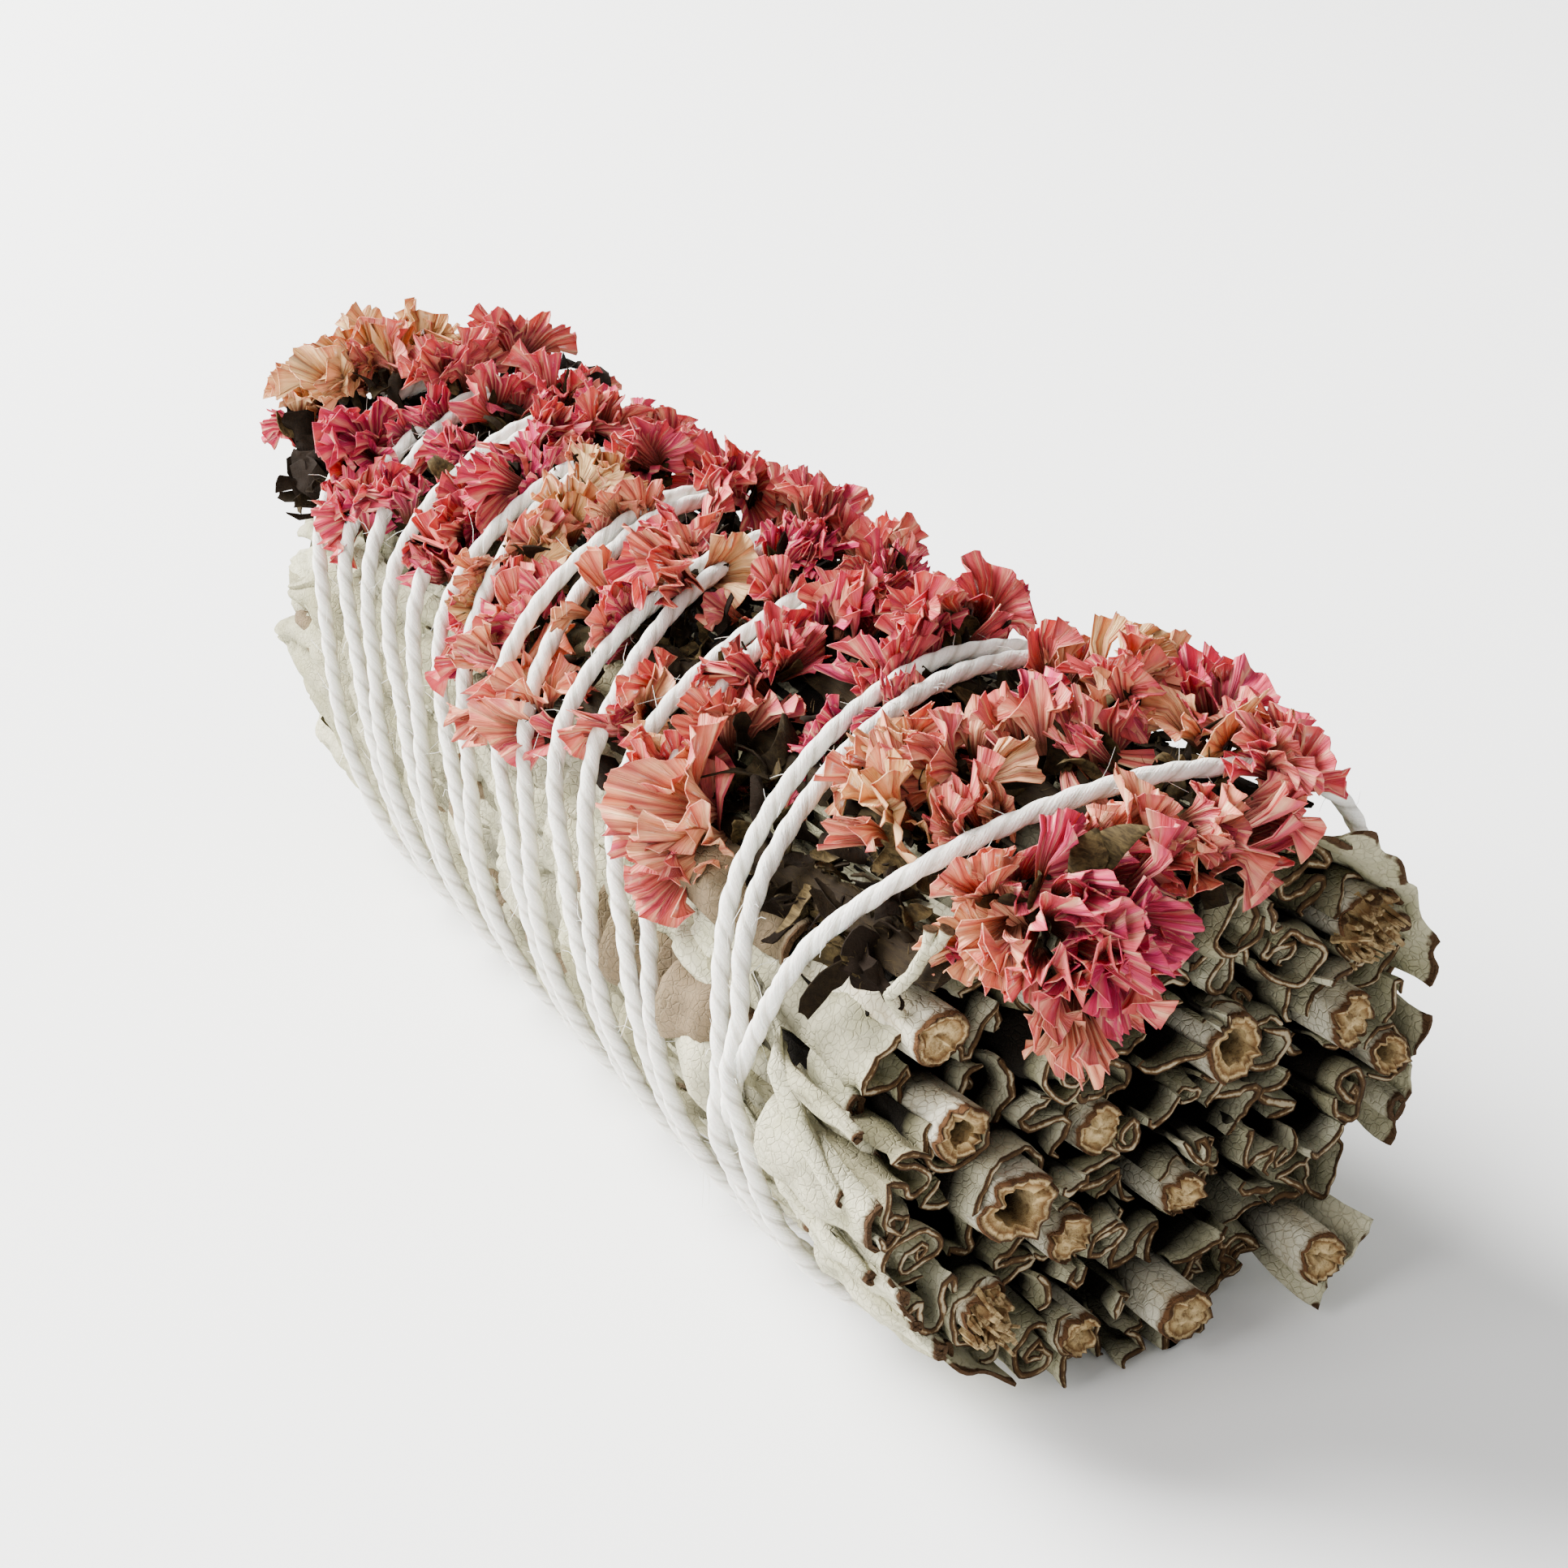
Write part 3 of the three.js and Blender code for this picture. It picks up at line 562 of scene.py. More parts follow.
def addStem(bag, k, rng):
    form, clear = stemForm, stemForm["clear"]
    isClear = k == clear["stem"]
    y, z, radius, cut, end = stems[k]
    radius = radius * (clear["share"] if isClear else 1.0)
    reach = clear["reach"] if isClear else form["reach"]
    around = np.linspace(0, 2 * np.pi, form["around"], endpoint=False)
    cosine, sine, ones = np.cos(around), np.sin(around), np.ones_like(around)
    u = np.concatenate([[cut, cut + 0.12, cut + 0.4], np.linspace(cut + 1.2, reach, form["rows"])])[:, None]
    shift = 3.1 * k
    knobs = sum(np.exp(-((u - at) / 1.3) ** 2) for at in rng.uniform(9, reach, 2))
    grid = asPoints(cosine[None] * 1.2, sine[None] * 1.2, u / 9)
    r = radius * (1 + form["uneven"] * noise(grid, 0.7, shift) + form["knob"] * knobs * (0.6 + 0.4 * cosine))
    r = r * np.where(u < cut + 0.1, 0.97, 1.0)
    lean = form["lean"] * noise(asPoints(u, 0, 0), 14, shift)
    slant = 0.25 * np.cos(around - rng.uniform(0, 6)) * smooth(-u, -cut - 1, -cut)
    chips = asPoints(cosine * 4, sine * 4, shift)
    broken = form["broken"][0] * noise(chips, 0.9) + form["broken"][1] * noise(chips, 0.35, 3)
    slant = slant + broken * (clear["broken"] if isClear else 1.0) * np.exp(-(u - cut) / 0.7)
    side = along(u + slant, y + r * cosine + lean, z + r * sine + lean)
    if end == "hollow":
        shares, depth = (np.array(values)[:, None] for values in endForms["hollow"])
        inner = form["hollow"] * (1 + 0.25 * noise(grid[0], 0.6, shift + 7))
        shares = np.where(np.arange(len(shares))[:, None] < 2, shares, shares * inner)
    else:
        shares = np.array(endForms["solid"])[:, None]
        depth = 0.4 * (1 - shares) + 0.4 * noise(asPoints(shares * cosine * 3, shares * sine * 3, shift), 0.8)
        depth = depth * (3.0 if end == "ragged" else 1.0)
    inside = asPoints(shares * cosine * 5, shares * sine * 5, shift)
    depth = depth + 0.22 * noise(inside, 0.8) * (shares < 0.9)
    face = along(cut + depth + slant[0] * shares, y + r[0] * shares * cosine + lean[0],
                 z + r[0] * shares * sine + lean[0])
    last = np.repeat(side[-1].mean(0)[None, None], form["around"], 1)
    # way on the bark is painted shade, darker further back from the cut inside the bundle; the stem that
    # stands clear gets none
    put(bag, np.concatenate([side, last]), gridFaces(len(side) + 1, form["around"], True), barkLook,
        tone=rng.uniform(0.3, 0.9), edge=np.concatenate([1 - smooth(u - cut, 0, 0.9), [[0.0]]]) * ones,
        way=(not isClear) * np.concatenate([smooth(u - cut, 1.6, 6), [[1.0]]]) * ones)
    faces = gridFaces(len(face) + 1, form["around"], True)[:, ::-1]
    put(bag, np.concatenate([side[:1], face]), faces, pithLook, tone=rng.random(),
        edge=np.concatenate([np.zeros_like(depth[:1]), depth]) / form["deepest"] * ones,
        way=np.concatenate([np.ones_like(shares[:1]), shares]) * ones)
    if end == "ragged":
        addSplinters(bag, rng, y, z, radius, cut)


# Rolled and folded leaves, cut across at the front, in cells pressed against each other and the stems

rolls = {
    "count": 84,
    "radii": (1.2, 2.7),
    "thickness": (0.34, 0.56),
    "gap": 0.04,
    "inset": 0.9,
    "spacing": 0.38,
    "cuts": (-1.3, 2.4),
    "deeper": 2.4,
    "wave": 0.7,
    "kinds": ("fold", "curl", "fold", "roll", "fold", "curl", "fold", "fold"),
    "reach": {"outside": 27.0, "inside": 10.0, "within": 9.0},
    "outside": 0.72,  # share of the section's half width past which a leaf counts as an outer one
    # painted shade on the walls of each cut leaf, by where its cell lies; the inner ones darkest
    "shade": {"near": 0.25, "far": 0.4, "middle": 0.7, "inside": 1.0},
    "clearing": 5.2,  # those this near to the stem that stands clear are cut further back
    "bare": (0, 10, 12),  # stems that no leaf base clasps
}
crowding = {"within": 0.92, "around": 0.5, "apart": 1.02, "rounds": 120, "share": 0.3}  # how cells spread out


def cellPlaces():
    rng = np.random.default_rng(31)
    places = []
    width, height, _ = skinAt(0)
    middle = np.array((0, axisShare * height))
    half = np.array((width, height)) * crowding["within"]
    while len(places) < rolls["count"]:
        p = rng.uniform(-1, 1, 2)
        if np.hypot(*p) < 1:
            places.append(middle + p * half)
    places = np.array(places)
    radii = rng.uniform(*rolls["radii"], rolls["count"])
    allRadii = np.concatenate([stemRadii + crowding["around"], radii])
    for _ in range(crowding["rounds"]):
        every = np.concatenate([stemPlaces, places])
        away = places[:, None] - every[None]
        distance = np.linalg.norm(away, axis=2) + 1e-9
        wanted = (radii[:, None] + allRadii[None]) * crowding["apart"]
        push = np.where(distance < 1e-6, 0, np.maximum(wanted - distance, 0) / distance)
        places = places + crowding["share"] * (away * push[..., None]).sum(1)
        p = (places - middle) / (half + 1.2 - radii[:, None])
        outside = np.maximum(np.hypot(*p.T), 1)[:, None]
        places = middle + (places - middle) / outside
    return places, radii


cells, cellRadii = cellPlaces()


# How far a cell reaches each way before it meets a neighbour or the skin
def cellReach(place, radius, angles, rise=-0.1):
    others = np.concatenate([stemPlaces, cells])
    otherRadii = np.concatenate([stemRadii + 0.35, cellRadii])
    away = others - place
    distance = np.linalg.norm(away, axis=1)
    other = distance > 1e-6
    away, distance, otherRadii = away[other], distance[other], otherRadii[other]
    toward = (np.stack([np.cos(angles), np.sin(angles)], -1) @ away.T) / distance
    halfway = (distance ** 2 + radius ** 2 - otherRadii ** 2) / (2 * distance)
    reach = np.where(toward > 0.05, halfway / np.maximum(toward, 0.05), 99).min(1)
    width, height, _ = skinAt(0)
    scale = np.array((width + rise, height + rise))
    p = (place - (0, axisShare * height)) / scale
    d = np.stack([np.cos(angles), np.sin(angles)], -1) / scale
    a, b, c = (d * d).sum(1), d @ p, p @ p - 1
    skinReach = (-b + np.sqrt(np.maximum(b * b - a * c, 0))) / a
    return np.clip(np.minimum(reach, skinReach) - rolls["gap"], 0.35, 6)


def smoothPath(points, spacing):
    points = np.asarray(points, float)
    for _ in range(3):
        a, b = points[:-1], points[1:]
        cut = np.stack([0.75 * a + 0.25 * b, 0.25 * a + 0.75 * b], 1).reshape(-1, 2)
        points = np.concatenate([points[:1], cut, points[-1:]])
    return evenly(points, spacing)


# A leaf's section: rolled up, curled, folded to and fro, or wrapped round the outline of its cell
def leafSection(place, radius, kind, rng):
    start = rng.uniform(0, 2 * np.pi)
    fine = np.linspace(0, 2 * np.pi, 73)
    reach = cellReach(place, radius, fine)
    mean = reach.mean()
    thick = rng.uniform(*rolls["thickness"])
    turn = rng.choice([-1, 1])
    if kind in ("roll", "curl"):
        turns = {"roll": min(mean / rolls["inset"] + 0.2, 2.6), "curl": rng.uniform(0.75, 1.25)}[kind]
        t = np.linspace(0, turns * 2 * np.pi, int(turns * 26))
        r = np.interp((start + turn * t) % (2 * np.pi), fine, reach)
        inset = rolls["inset"] * t / (2 * np.pi) * (1 if kind == "roll" else 0.7)
        r = np.maximum(r - thick / 2 - inset, 0.22)
        path = place + np.stack([r * np.cos(start + turn * t), r * np.sin(start + turn * t)], -1)
    else:
        longest = fine[np.argmax(reach + np.interp((fine + np.pi) % (2 * np.pi), fine, reach))]
        e = np.array((math.cos(longest), math.sin(longest)))
        f = np.array((-e[1], e[0]))
        outline = np.stack([reach * np.cos(fine), reach * np.sin(fine)], -1)
        a, b = outline @ e, outline @ f
        low, high = b.min() + thick * 0.7, b.max() - thick * 0.7
        passes = max(int((high - low) / rng.uniform(1.15, 1.7)) + 1, 2)
        path = []
        for j in range(passes):
            at = low + (high - low) * j / (passes - 1)
            crossing = np.abs(b - at) < max(0.35, (b.max() - b.min()) / 20)
            right = a[crossing & (a > 0)].min(initial=2.5) - 0.35
            left = a[crossing & (a <= 0)].max(initial=-2.5) + 0.35
            ends = [left, right] if j % 2 == 0 else [right, left]
            middle = rng.normal() * 0.3
            path += [place + e * ends[0] + f * at, place + e * (left + right) / 2 + f * (at + middle),
                     place + e * ends[1] + f * at]
    path = evenly(np.asarray(path, float), 0.8)
    place3 = np.concatenate([path, 0 * path[:, :1]], 1)
    bent = crumpled(place3, 1.9, rng.uniform(0, 30, 2))
    path = path + rolls["wave"] * bent
    return smoothPath(path, rolls["spacing"]), thick


sheet = {
    "back": (0, 0.18, 0.5, 1.1, 1.9, 2.8, 3.9, 5.4, 9.0, 16.0),  # rows behind the cut
    "torn": 0.22,
    "slant": 0.16,
    "wander": (0.6, 0.24),  # coarse and fine
    "thinEnds": 0.55,
    "uneven": 0.3,
    "rim": (1, 0.3, 0, 0.3, 1),  # across the cut edge: dark on both sides, with a paler line between
    "rimInset": 0.35,
    "proud": 0.08,
}


def addCutSheet(bag, path, thick, cut, reach, rng, tone, ragged=0.35, shaded=1.0, flare=0.0):
    n = len(path)
    tangent = np.gradient(path, axis=0)
    tangent /= np.linalg.norm(tangent, axis=1)[:, None] + 1e-9
    normal = np.stack([-tangent[:, 1], tangent[:, 0]], -1)
    seed = rng.uniform(0, 30)
    at = np.arange(n) * rolls["spacing"]
    line = asPoints(at, 0, 0)
    torn = ragged * noise(line, 1.3, seed) + sheet["torn"] * noise(line, 0.5, seed + 9)
    slant = rng.normal(size=2) * sheet["slant"]
    back = np.array(sheet["back"])
    back = np.append(back[back < reach - 1], reach)[:, None]
    centre = path.mean(0)
    u = cut + (torn + (path - centre) @ slant) * np.exp(-back / 1.5) + back
    grid = asPoints(at[None], back, seed)
    coarse, fine = sheet["wander"]
    wander = coarse * noise(grid, 2.3) * smooth(back, 0.1, 2) + fine * noise(grid, 0.9, 5)
    opened = 1 + flare * (1 - smooth(back, 0, 5))
    q = centre + (path[None] - centre) * opened[..., None] + normal[None] * wander[..., None]
    fromEnd = np.minimum(np.arange(n), n - 1 - np.arange(n))
    half = thick / 2 * (1 - sheet["thinEnds"] * np.exp(-fromEnd / 1.0))
    half = half * (1 + sheet["uneven"] * noise(line, 0.9, seed + 3))
    outer = along(u, *np.moveaxis(q + normal * half[None, :, None], -1, 0))
    inner = along(u, *np.moveaxis(q - normal * half[None, :, None], -1, 0))
    edge = np.exp(-back / 0.1) * np.ones(n)
    # painted shade: the walls are coloured darker from the cut backwards, as deep in the gaps between leaves
    shade = shaded * smooth(back, 0.1, 2.0) * np.ones(n)
    faces = gridFaces(len(back), n)
    faces = np.concatenate([faces, faces[:, ::-1] + len(back) * n])
    put(bag, np.stack([inner, outer]), faces, feltLook, tone, np.stack([edge, edge]),
        np.stack([shade, shade]))
    middle = (outer[0] + inner[0]) / 2 + (sheet["proud"], 0, 0)
    beside = [middle * sheet["rimInset"] + side[0] * (1 - sheet["rimInset"]) for side in (outer, inner)]
    rim = np.stack([outer[0], beside[0], middle, beside[1], inner[0]])
    put(bag, rim, gridFaces(len(rim), n), cutLook, tone, np.array(sheet["rim"])[:, None] * np.ones(n))
    for column in (0, n - 1):  # the leaf's margins
        strip = np.stack([outer[:, column], inner[:, column]])
        f = gridFaces(2, len(back))
        put(bag, strip, f if column else f[:, ::-1], feltLook, tone, 0.3 + 0.7 * np.stack([edge[:, 0]] * 2),
            np.stack([shade[:, 0]] * 2))


def addRolls(bags):
    rng = np.random.default_rng(41)
    reaches, shades = rolls["reach"], rolls["shade"]
    width, height, _ = skinAt(0)
    for i, (place, radius) in enumerate(zip(cells, cellRadii)):
        bag = bags[int(np.argmin(np.linalg.norm(stemPlaces - place, axis=1)))]
        kind = rolls["kinds"][i % len(rolls["kinds"])]
        path, thick = leafSection(place, radius, kind, rng)
        outside = math.hypot(place[0] / width, place[1] / height - axisShare) > rolls["outside"]
        cut = rng.uniform(*rolls["cuts"]) + (rolls["deeper"] if i % 5 == 2 else 0)
        if np.linalg.norm(place - stemPlaces[0]) < rolls["clearing"]:
            cut = max(cut, stems[0][3] + rng.uniform(1.0, 2.4))
        side = "near" if place[0] < -6 else "far" if place[0] > 8 else "middle"
        addCutSheet(bag, path, thick, cut, reaches["outside" if outside else "inside"], rng,
                    rng.random() * 0.92, shaded=shades[side if outside else "inside"],
                    flare=rng.uniform(-0.02, 0.1))
        if kind == "curl" and radius > 1.9:  # another leaf inside it
            path, thick = leafSection(place, radius, rng.choice(["roll", "fold"]), rng)
            path = path.mean(0) + 0.62 * (path - path.mean(0))
            addCutSheet(bag, path, thick, cut + rng.uniform(0.2, 2.2), reaches["within"], rng,
                        rng.random() * 0.9)
    for k, (y, z, radius, cut, _) in enumerate(stems):  # leaf bases that clasp the stems
        if k in rolls["bare"]:
            continue
        start, sweep = rng.uniform(0, 2 * np.pi), rng.uniform(3.4, 5.6)
        t = start + np.linspace(0, sweep, 30)
        reach = cellReach(np.array((y, z)), radius + 0.35, t)
        r = np.minimum(np.maximum(reach - 0.1, radius + 0.2), radius + 0.55 + 0.2 * np.sin(3 * t + k))
        path = smoothPath(np.stack([y + r * np.cos(t), z + r * np.sin(t)], -1), rolls["spacing"])
        addCutSheet(bags[k], path, 0.4, cut + rng.uniform(0.3, 1.6), reaches["inside"], rng,
                    rng.random() * 0.9, ragged=0.6)


# Leaves pressed along the outside, pillowed between the passes of the string

leafForm = {
    "fine": (34, 11),  # rows and columns
    "coarse": (26, 8),
    "thickness": 0.42,
    "pillow": 1.15,
    "pressed": -0.7,
    "crease": 0.7,
    "rib": 0.3,
    "waved": (0.16, 0.06),
    "wander": 1.6,
    "tucked": (1.6, 1.2),  # how far its front and its tip go under
}


def lengthAndWidth(rows, columns):  # 0 to 1 along a leaf, -1 to 1 across it
    return np.linspace(0, 1, rows)[:, None], np.linspace(-1, 1, columns)[None]


# The second number it gives is painted shade: darker in the creases, and a painted contact shadow where the
# string presses close
def leafRise(u, angle, base, seed):  # also how deep in a crease or against the string
    gap = fromString(u, angle)
    pillow = mix(leafForm["pressed"], leafForm["pillow"], smooth(gap, 0.5, 3.0))
    p = asPoints(u / 3.2, np.asarray(angle) / 8.0, seed)
    folds = np.abs(noise(p * (0.55, 1.5, 1), 1.0, 5))  # creases that run along the leaf
    small = np.abs(noise(p * (1.1, 2.6, 1), 1.0, 12))
    crease = np.exp(-folds / 0.09) + 0.4 * np.exp(-small / 0.1)
    rise = base + pillow + 0.25 * noise(p, 0.8) + 0.5 * noise(p, 3.4, 3) - leafForm["crease"] * crease
    return rise, np.clip(0.42 * crease + 0.3 * (1 - smooth(gap, 0.5, 1.4)), 0, 0.7)


def addLeaf(bag, rng, u0, length, middle, half, base=0.0, tone=0.5, curl=0.9, slant=0.0, stemmed=False,
            shade=0.0, grid="fine"):
    s, v = lengthAndWidth(*leafForm[grid])
    seed = rng.uniform(0, 30)
    taper = np.sin(np.pi * np.clip(0.06 + 0.94 * s ** 0.85, 0, 1)) ** 0.7
    if not stemmed:  # cut or tucked under at its front
        taper = np.where(s < 0.5, mix(0.75, 1, smooth(s, 0, 0.5)), np.sin(np.pi * s) ** 0.7)
    lengthwise = asPoints(s * length / 2.0, v * 0 + seed, 0)
    coarse, fine = leafForm["waved"]
    waved = 1 + coarse * noise(lengthwise, 1.0) + fine * np.sin(s * length * 2.4 + 3 * v)
    u = u0 + length * s + 0 * v
    width, height, lift = skinAt(u)
    across = half * taper * waved * v + leafForm["wander"] * noise(lengthwise * 0.2, 1.0, 8)
    angle = middle + turnAt(u) + slant * (s - 0.4) + np.degrees(across / ((width + height) / 2))
    margin = np.abs(v) ** 4 * curl * (0.6 + 0.4 * np.sin(9 * s + seed))  # rolled under or up
    rise, crease = leafRise(u, angle, base, seed)
    rise = rise - margin - leafForm["rib"] * np.exp(-(v / 0.09) ** 2) + 0.4 * (1 - v * v)
    front, tip = leafForm["tucked"]
    rise = rise - front * (1 - smooth(s, 0, 0.05)) - tip * smooth(s, 0.93, 1.0)
    floor = lift + 0.12 + 0.05 * (seed % 6)
    outer = onSkin(u, angle, rise, floor + leafForm["thickness"])
    inner = onSkin(u, angle, rise - leafForm["thickness"], floor)
    frayed = noise(asPoints(s * length / 3, v, seed), 1.0) > 0.1
    edge = smooth(np.abs(v), 0.86, 1.0) * (0.3 + 0.5 * frayed) + 0 * s
    shell(bag, outer, inner, feltLook, tone, edge * 0.6, np.maximum(crease, shade))


# A narrow leaf rolled up lengthwise, lying along the outside
rolled = {"rows": 30, "around": 15, "open": (-0.75, 1.55), "thickness": 0.36, "sway": 1.2, "flat": 0.75}


def addRolledLeaf(bag, rng, u0, length, middle, half, base, tone, slant):
    s = np.linspace(0, 1, rolled["rows"])[:, None]
    seed = rng.uniform(0, 30)
    turned = np.linspace(*rolled["open"], rolled["around"])[None]
    a = turned * np.pi * rng.choice([-1, 1]) + rng.uniform(-0.5, 0.5)
    uneven = 1 + 0.2 * noise(asPoints(s * length / 2.5, seed, 0), 1.0)
    radius = half * np.sin(np.pi * (0.1 + 0.86 * s)) ** 0.5 * uneven
    inward = 1 - 0.22 * np.abs(turned - 0.2)
    u = u0 + length * s + 0 * a
    width, height, lift = skinAt(u)
    sway = rolled["sway"] * noise(asPoints(s * length / 9, seed, 3), 1.0)
    centre = middle + turnAt(u) + slant * (s - 0.4)
    across = radius * inward * np.sin(a) * 1.25 + sway
    angle = centre + np.degrees(across / ((width + height) / 2))
    gap = fromString(u, centre)
    press = mix(0.35, 1.0, smooth(gap, 0.5, 2.6))
    wrinkle = 0.16 * noise(asPoints(s * length / 1.3, a, seed), 1.0)
    crease = np.exp(-np.abs(noise(asPoints(s * length / 5, a * 1.6, seed), 1.0)) / 0.1)
    wrinkle = wrinkle - 0.3 * crease
    rise = base + press * (rolled["flat"] * radius * inward * (1 + np.cos(a)) + wrinkle) - 0.6 * (1 - press)
    outer = onSkin(u, angle, rise, lift + 0.5)
    normal = np.cross(np.gradient(outer, axis=0), np.gradient(outer, axis=1))
    normal /= np.linalg.norm(normal, axis=2)[..., None] + 1e-9
    sign = np.sign(((outer - outer.mean(1, keepdims=True)) * normal).sum(2).mean())
    inner = outer - sign * normal * rolled["thickness"]
    inner[..., 2] = np.maximum(inner[..., 2], 0.1)
    fromMargin = 1 - np.abs(np.linspace(-1, 1, rolled["around"]))[None]
    edge = np.exp(-fromMargin / 0.06) * 0.55 + np.exp(-s * length / 0.3) + 0 * a
    # painted shade in the creases, and a painted contact shadow beside the string
    shade = np.clip(0.5 * crease + 0.35 * (1 - smooth(gap, 0.5, 1.4)), 0, 0.7)
    pair = (outer, inner) if sign > 0 else (inner, outer)
    shell(bag, *pair, feltLook, tone, edge, shade)


def stemOf(angle):  # the sprig whose share of the skin holds this angle
    point = onSkin(0, angle, packed["rise"])[1:]
    return int(np.argmin(np.linalg.norm(stemPlaces - point, axis=1)))


frontRolls = [  # first u, length, angle, half width, base rise, tone, slant
    (0.5, 34, 88, 2.5, -1.6, 0.62, -14), (-0.6, 26, 104, 1.1, -0.9, 0.85, -16),
    (0.2, 22, 112, 1.0, -0.8, 0.4, -18), (1.4, 24, 97, 0.9, 0.0, 0.7, -22),
    (-0.4, 20, 121, 1.2, -0.8, 0.8, -10), (3.0, 14, 80, 0.8, 0.3, 0.7, -24),
    (2.2, 12, 76, 0.7, 0.1, 0.35, -10), (0.8, 16, 130, 1.3, -0.9, 0.5, -8),
    (14, 24, 52, 2.5, -1.0, 0.95, 0), (17, 24, 77, 2.7, -1.1, 0.97, 3),
    (-1.0, 18, -60, 1.4, -1.2, 0.5, 8), (-0.8, 20, -104, 1.5, -1.2, 0.6, 6),
    (3.4, 18, 79, 1.3, -2.6, 0.5, -12), (6.0, 16, 71, 1.4, -2.6, 0.7, -10)]

leafLayers = [  # first u, its spread, how far apart around, lengths, half widths, base rise
    (6, (6, 16), 18, (52, 62), (3.4, 5.0), -1.0), (44, (0, 10), 19, (46, 58), (3.2, 4.8), -1.0),
    (16, (0, 16), 26, (36, 52), (2.6, 4.6), -0.4), (54, (0, 12), 27, (36, 48), (2.4, 4.2), -0.4)]
leavesEnd = {"flat": 107, "rolled": 106}
tanShare = 0.16
underFlowers = {"angles": (-35, 30, 15), "starts": (5, 46), "rise": -1.3}
underneath = {"reaches": ((3, 56), (50, 105)), "angles": (50, 328, 15.5), "rise": -1.75, "shade": 0.12}


def addOuterLeaves(bags):
    rng = np.random.default_rng(51)
    for first, spread, pitch, lengths, halves, base in leafLayers:
        for angle in np.arange(40, 325, pitch):
            middle = angle + rng.uniform(-6, 6)
            u0 = first + rng.uniform(*spread)
            length = min(rng.uniform(*lengths), leavesEnd["flat"] - u0)
            tone = 0.97 if rng.random() < tanShare else rng.random() * 0.88
            addLeaf(bags[stemOf(middle)], rng, u0, length, middle, rng.uniform(*halves),
                    base + rng.uniform(-0.15, 0.2), tone, curl=rng.uniform(0.3, 1.5),
                    slant=rng.uniform(-12, 12), stemmed=rng.random() < 0.5)
    for i, angle in enumerate(np.arange(44, 320, 7.4)):  # rolled ones between and over them
        u0 = (2, 30, 58)[i % 3] + rng.uniform(0, 16)
        middle = angle + rng.uniform(-4, 4)
        length = min(rng.uniform(24, 44), leavesEnd["rolled"] - u0)
        addRolledLeaf(bags[stemOf(middle)], rng, u0, length, middle, rng.uniform(0.8, 1.7),
                      rng.uniform(-0.9, -0.3), rng.random() * 0.86, rng.uniform(-10, 10))
    # leaves under the flowers, coloured near black as painted shade under the heads, less so on the far side
    for angle in np.arange(*underFlowers["angles"]):
        for u0 in underFlowers["starts"]:
            addLeaf(bags[stemOf(angle)], rng, u0 + rng.uniform(0, 6), rng.uniform(46, 56),
                    angle + rng.uniform(-4, 4), rng.uniform(3.4, 4.6), underFlowers["rise"],
                    rng.random() * 0.4, slant=rng.uniform(-8, 8), shade=1.0 if angle > -30 else 0.3)


# These lower leaves carry a little painted shade for lying under the others
def addLowerLeaves(bags):  # wide ones under the others
    rng = np.random.default_rng(52)
    for first, last in underneath["reaches"]:
        for angle in np.arange(*underneath["angles"]):
            middle = angle + rng.uniform(-3, 3)
            u0 = first + rng.uniform(0, 5) + (9 if first < 9 and angle < 150 else 0)
            addLeaf(bags[stemOf(middle)], rng, u0, last - u0 + rng.uniform(-2, 1), middle,
                    rng.uniform(4.2, 5.2), underneath["rise"], rng.random() * 0.8, curl=0.4,
                    slant=rng.uniform(-5, 5), shade=underneath["shade"], grid="coarse")


# Leaf tips that close over the bundle's end
tipEnds = [  # how many around, first and last u, rise at the root and at the tip, half width, shade
    (17, 87, 105.6, -1.0, -6.5, 3.3, 0.0), (15, 89, 106.4, -1.9, -9.0, 3.2, 0.1),
    (11, 95, 106.2, -4.5, -11.0, 2.8, 0.15), (8, 97, 105.4, -7.5, -13.0, 2.4, 0.25)]


def addTipEnd(bag, rng, angle, first, last, high, low, half, shade):
    s, v = lengthAndWidth(11, 6)
    seed = rng.uniform(0, 30)
    grid = asPoints(s * 4, v * 0.8, seed)
    u = mix(first, last, 1 - (1 - s) ** 1.5) + 0.6 * noise(grid, 1.3, 7) * s
    rise = mix(high, low, smooth(s, 0.35, 1.15)) + 0.5 * noise(grid, 1.0) + 0.5 * v * v * rng.uniform(-1, 1)
    rise = rise - 0.35 * np.exp(-(v / 0.15) ** 2)
    radius = np.maximum(skinAt(u)[1] + rise, 2.4)
    taper = np.sin(np.pi * (0.3 + 0.69 * s)) ** 0.75
    turned = angle + turnAt(u) + 6 * s * rng.normal() + np.degrees(half * taper * v / radius)
    outer, inner = onSkin(u, turned, rise, 0.5), onSkin(u, turned, rise - 0.3, 0.2)
    inner[..., 0] += 0.25 * smooth(s, 0.4, 1.0)
    edge = 0.5 * smooth(np.abs(v), 0.7, 1.0) + 0.4 * smooth(s, 0.9, 1.0)
    # painted shade: more for the layers deeper in the end, and along the middle of each leaf
    shade = shade + 0.25 * np.exp(-np.abs(v) / 0.2) + 0 * s
    shell(bag, outer, inner, feltLook, rng.random() * 0.85, edge, shade)


def addTipEnds(bags):
    rng = np.random.default_rng(57)
    for count, first, last, high, low, half, shade in tipEnds:
        for i in range(count):
            angle = 360 * (i + rng.uniform(-0.3, 0.3)) / count + 40 * high
            addTipEnd(bags[stemOf(angle)], rng, angle, first + rng.uniform(-2, 2),
                      last + rng.uniform(-1.4, 0.6), high + rng.uniform(-0.3, 0.3),
                      low + rng.uniform(-1, 1.5), half * rng.uniform(0.8, 1.15), shade)


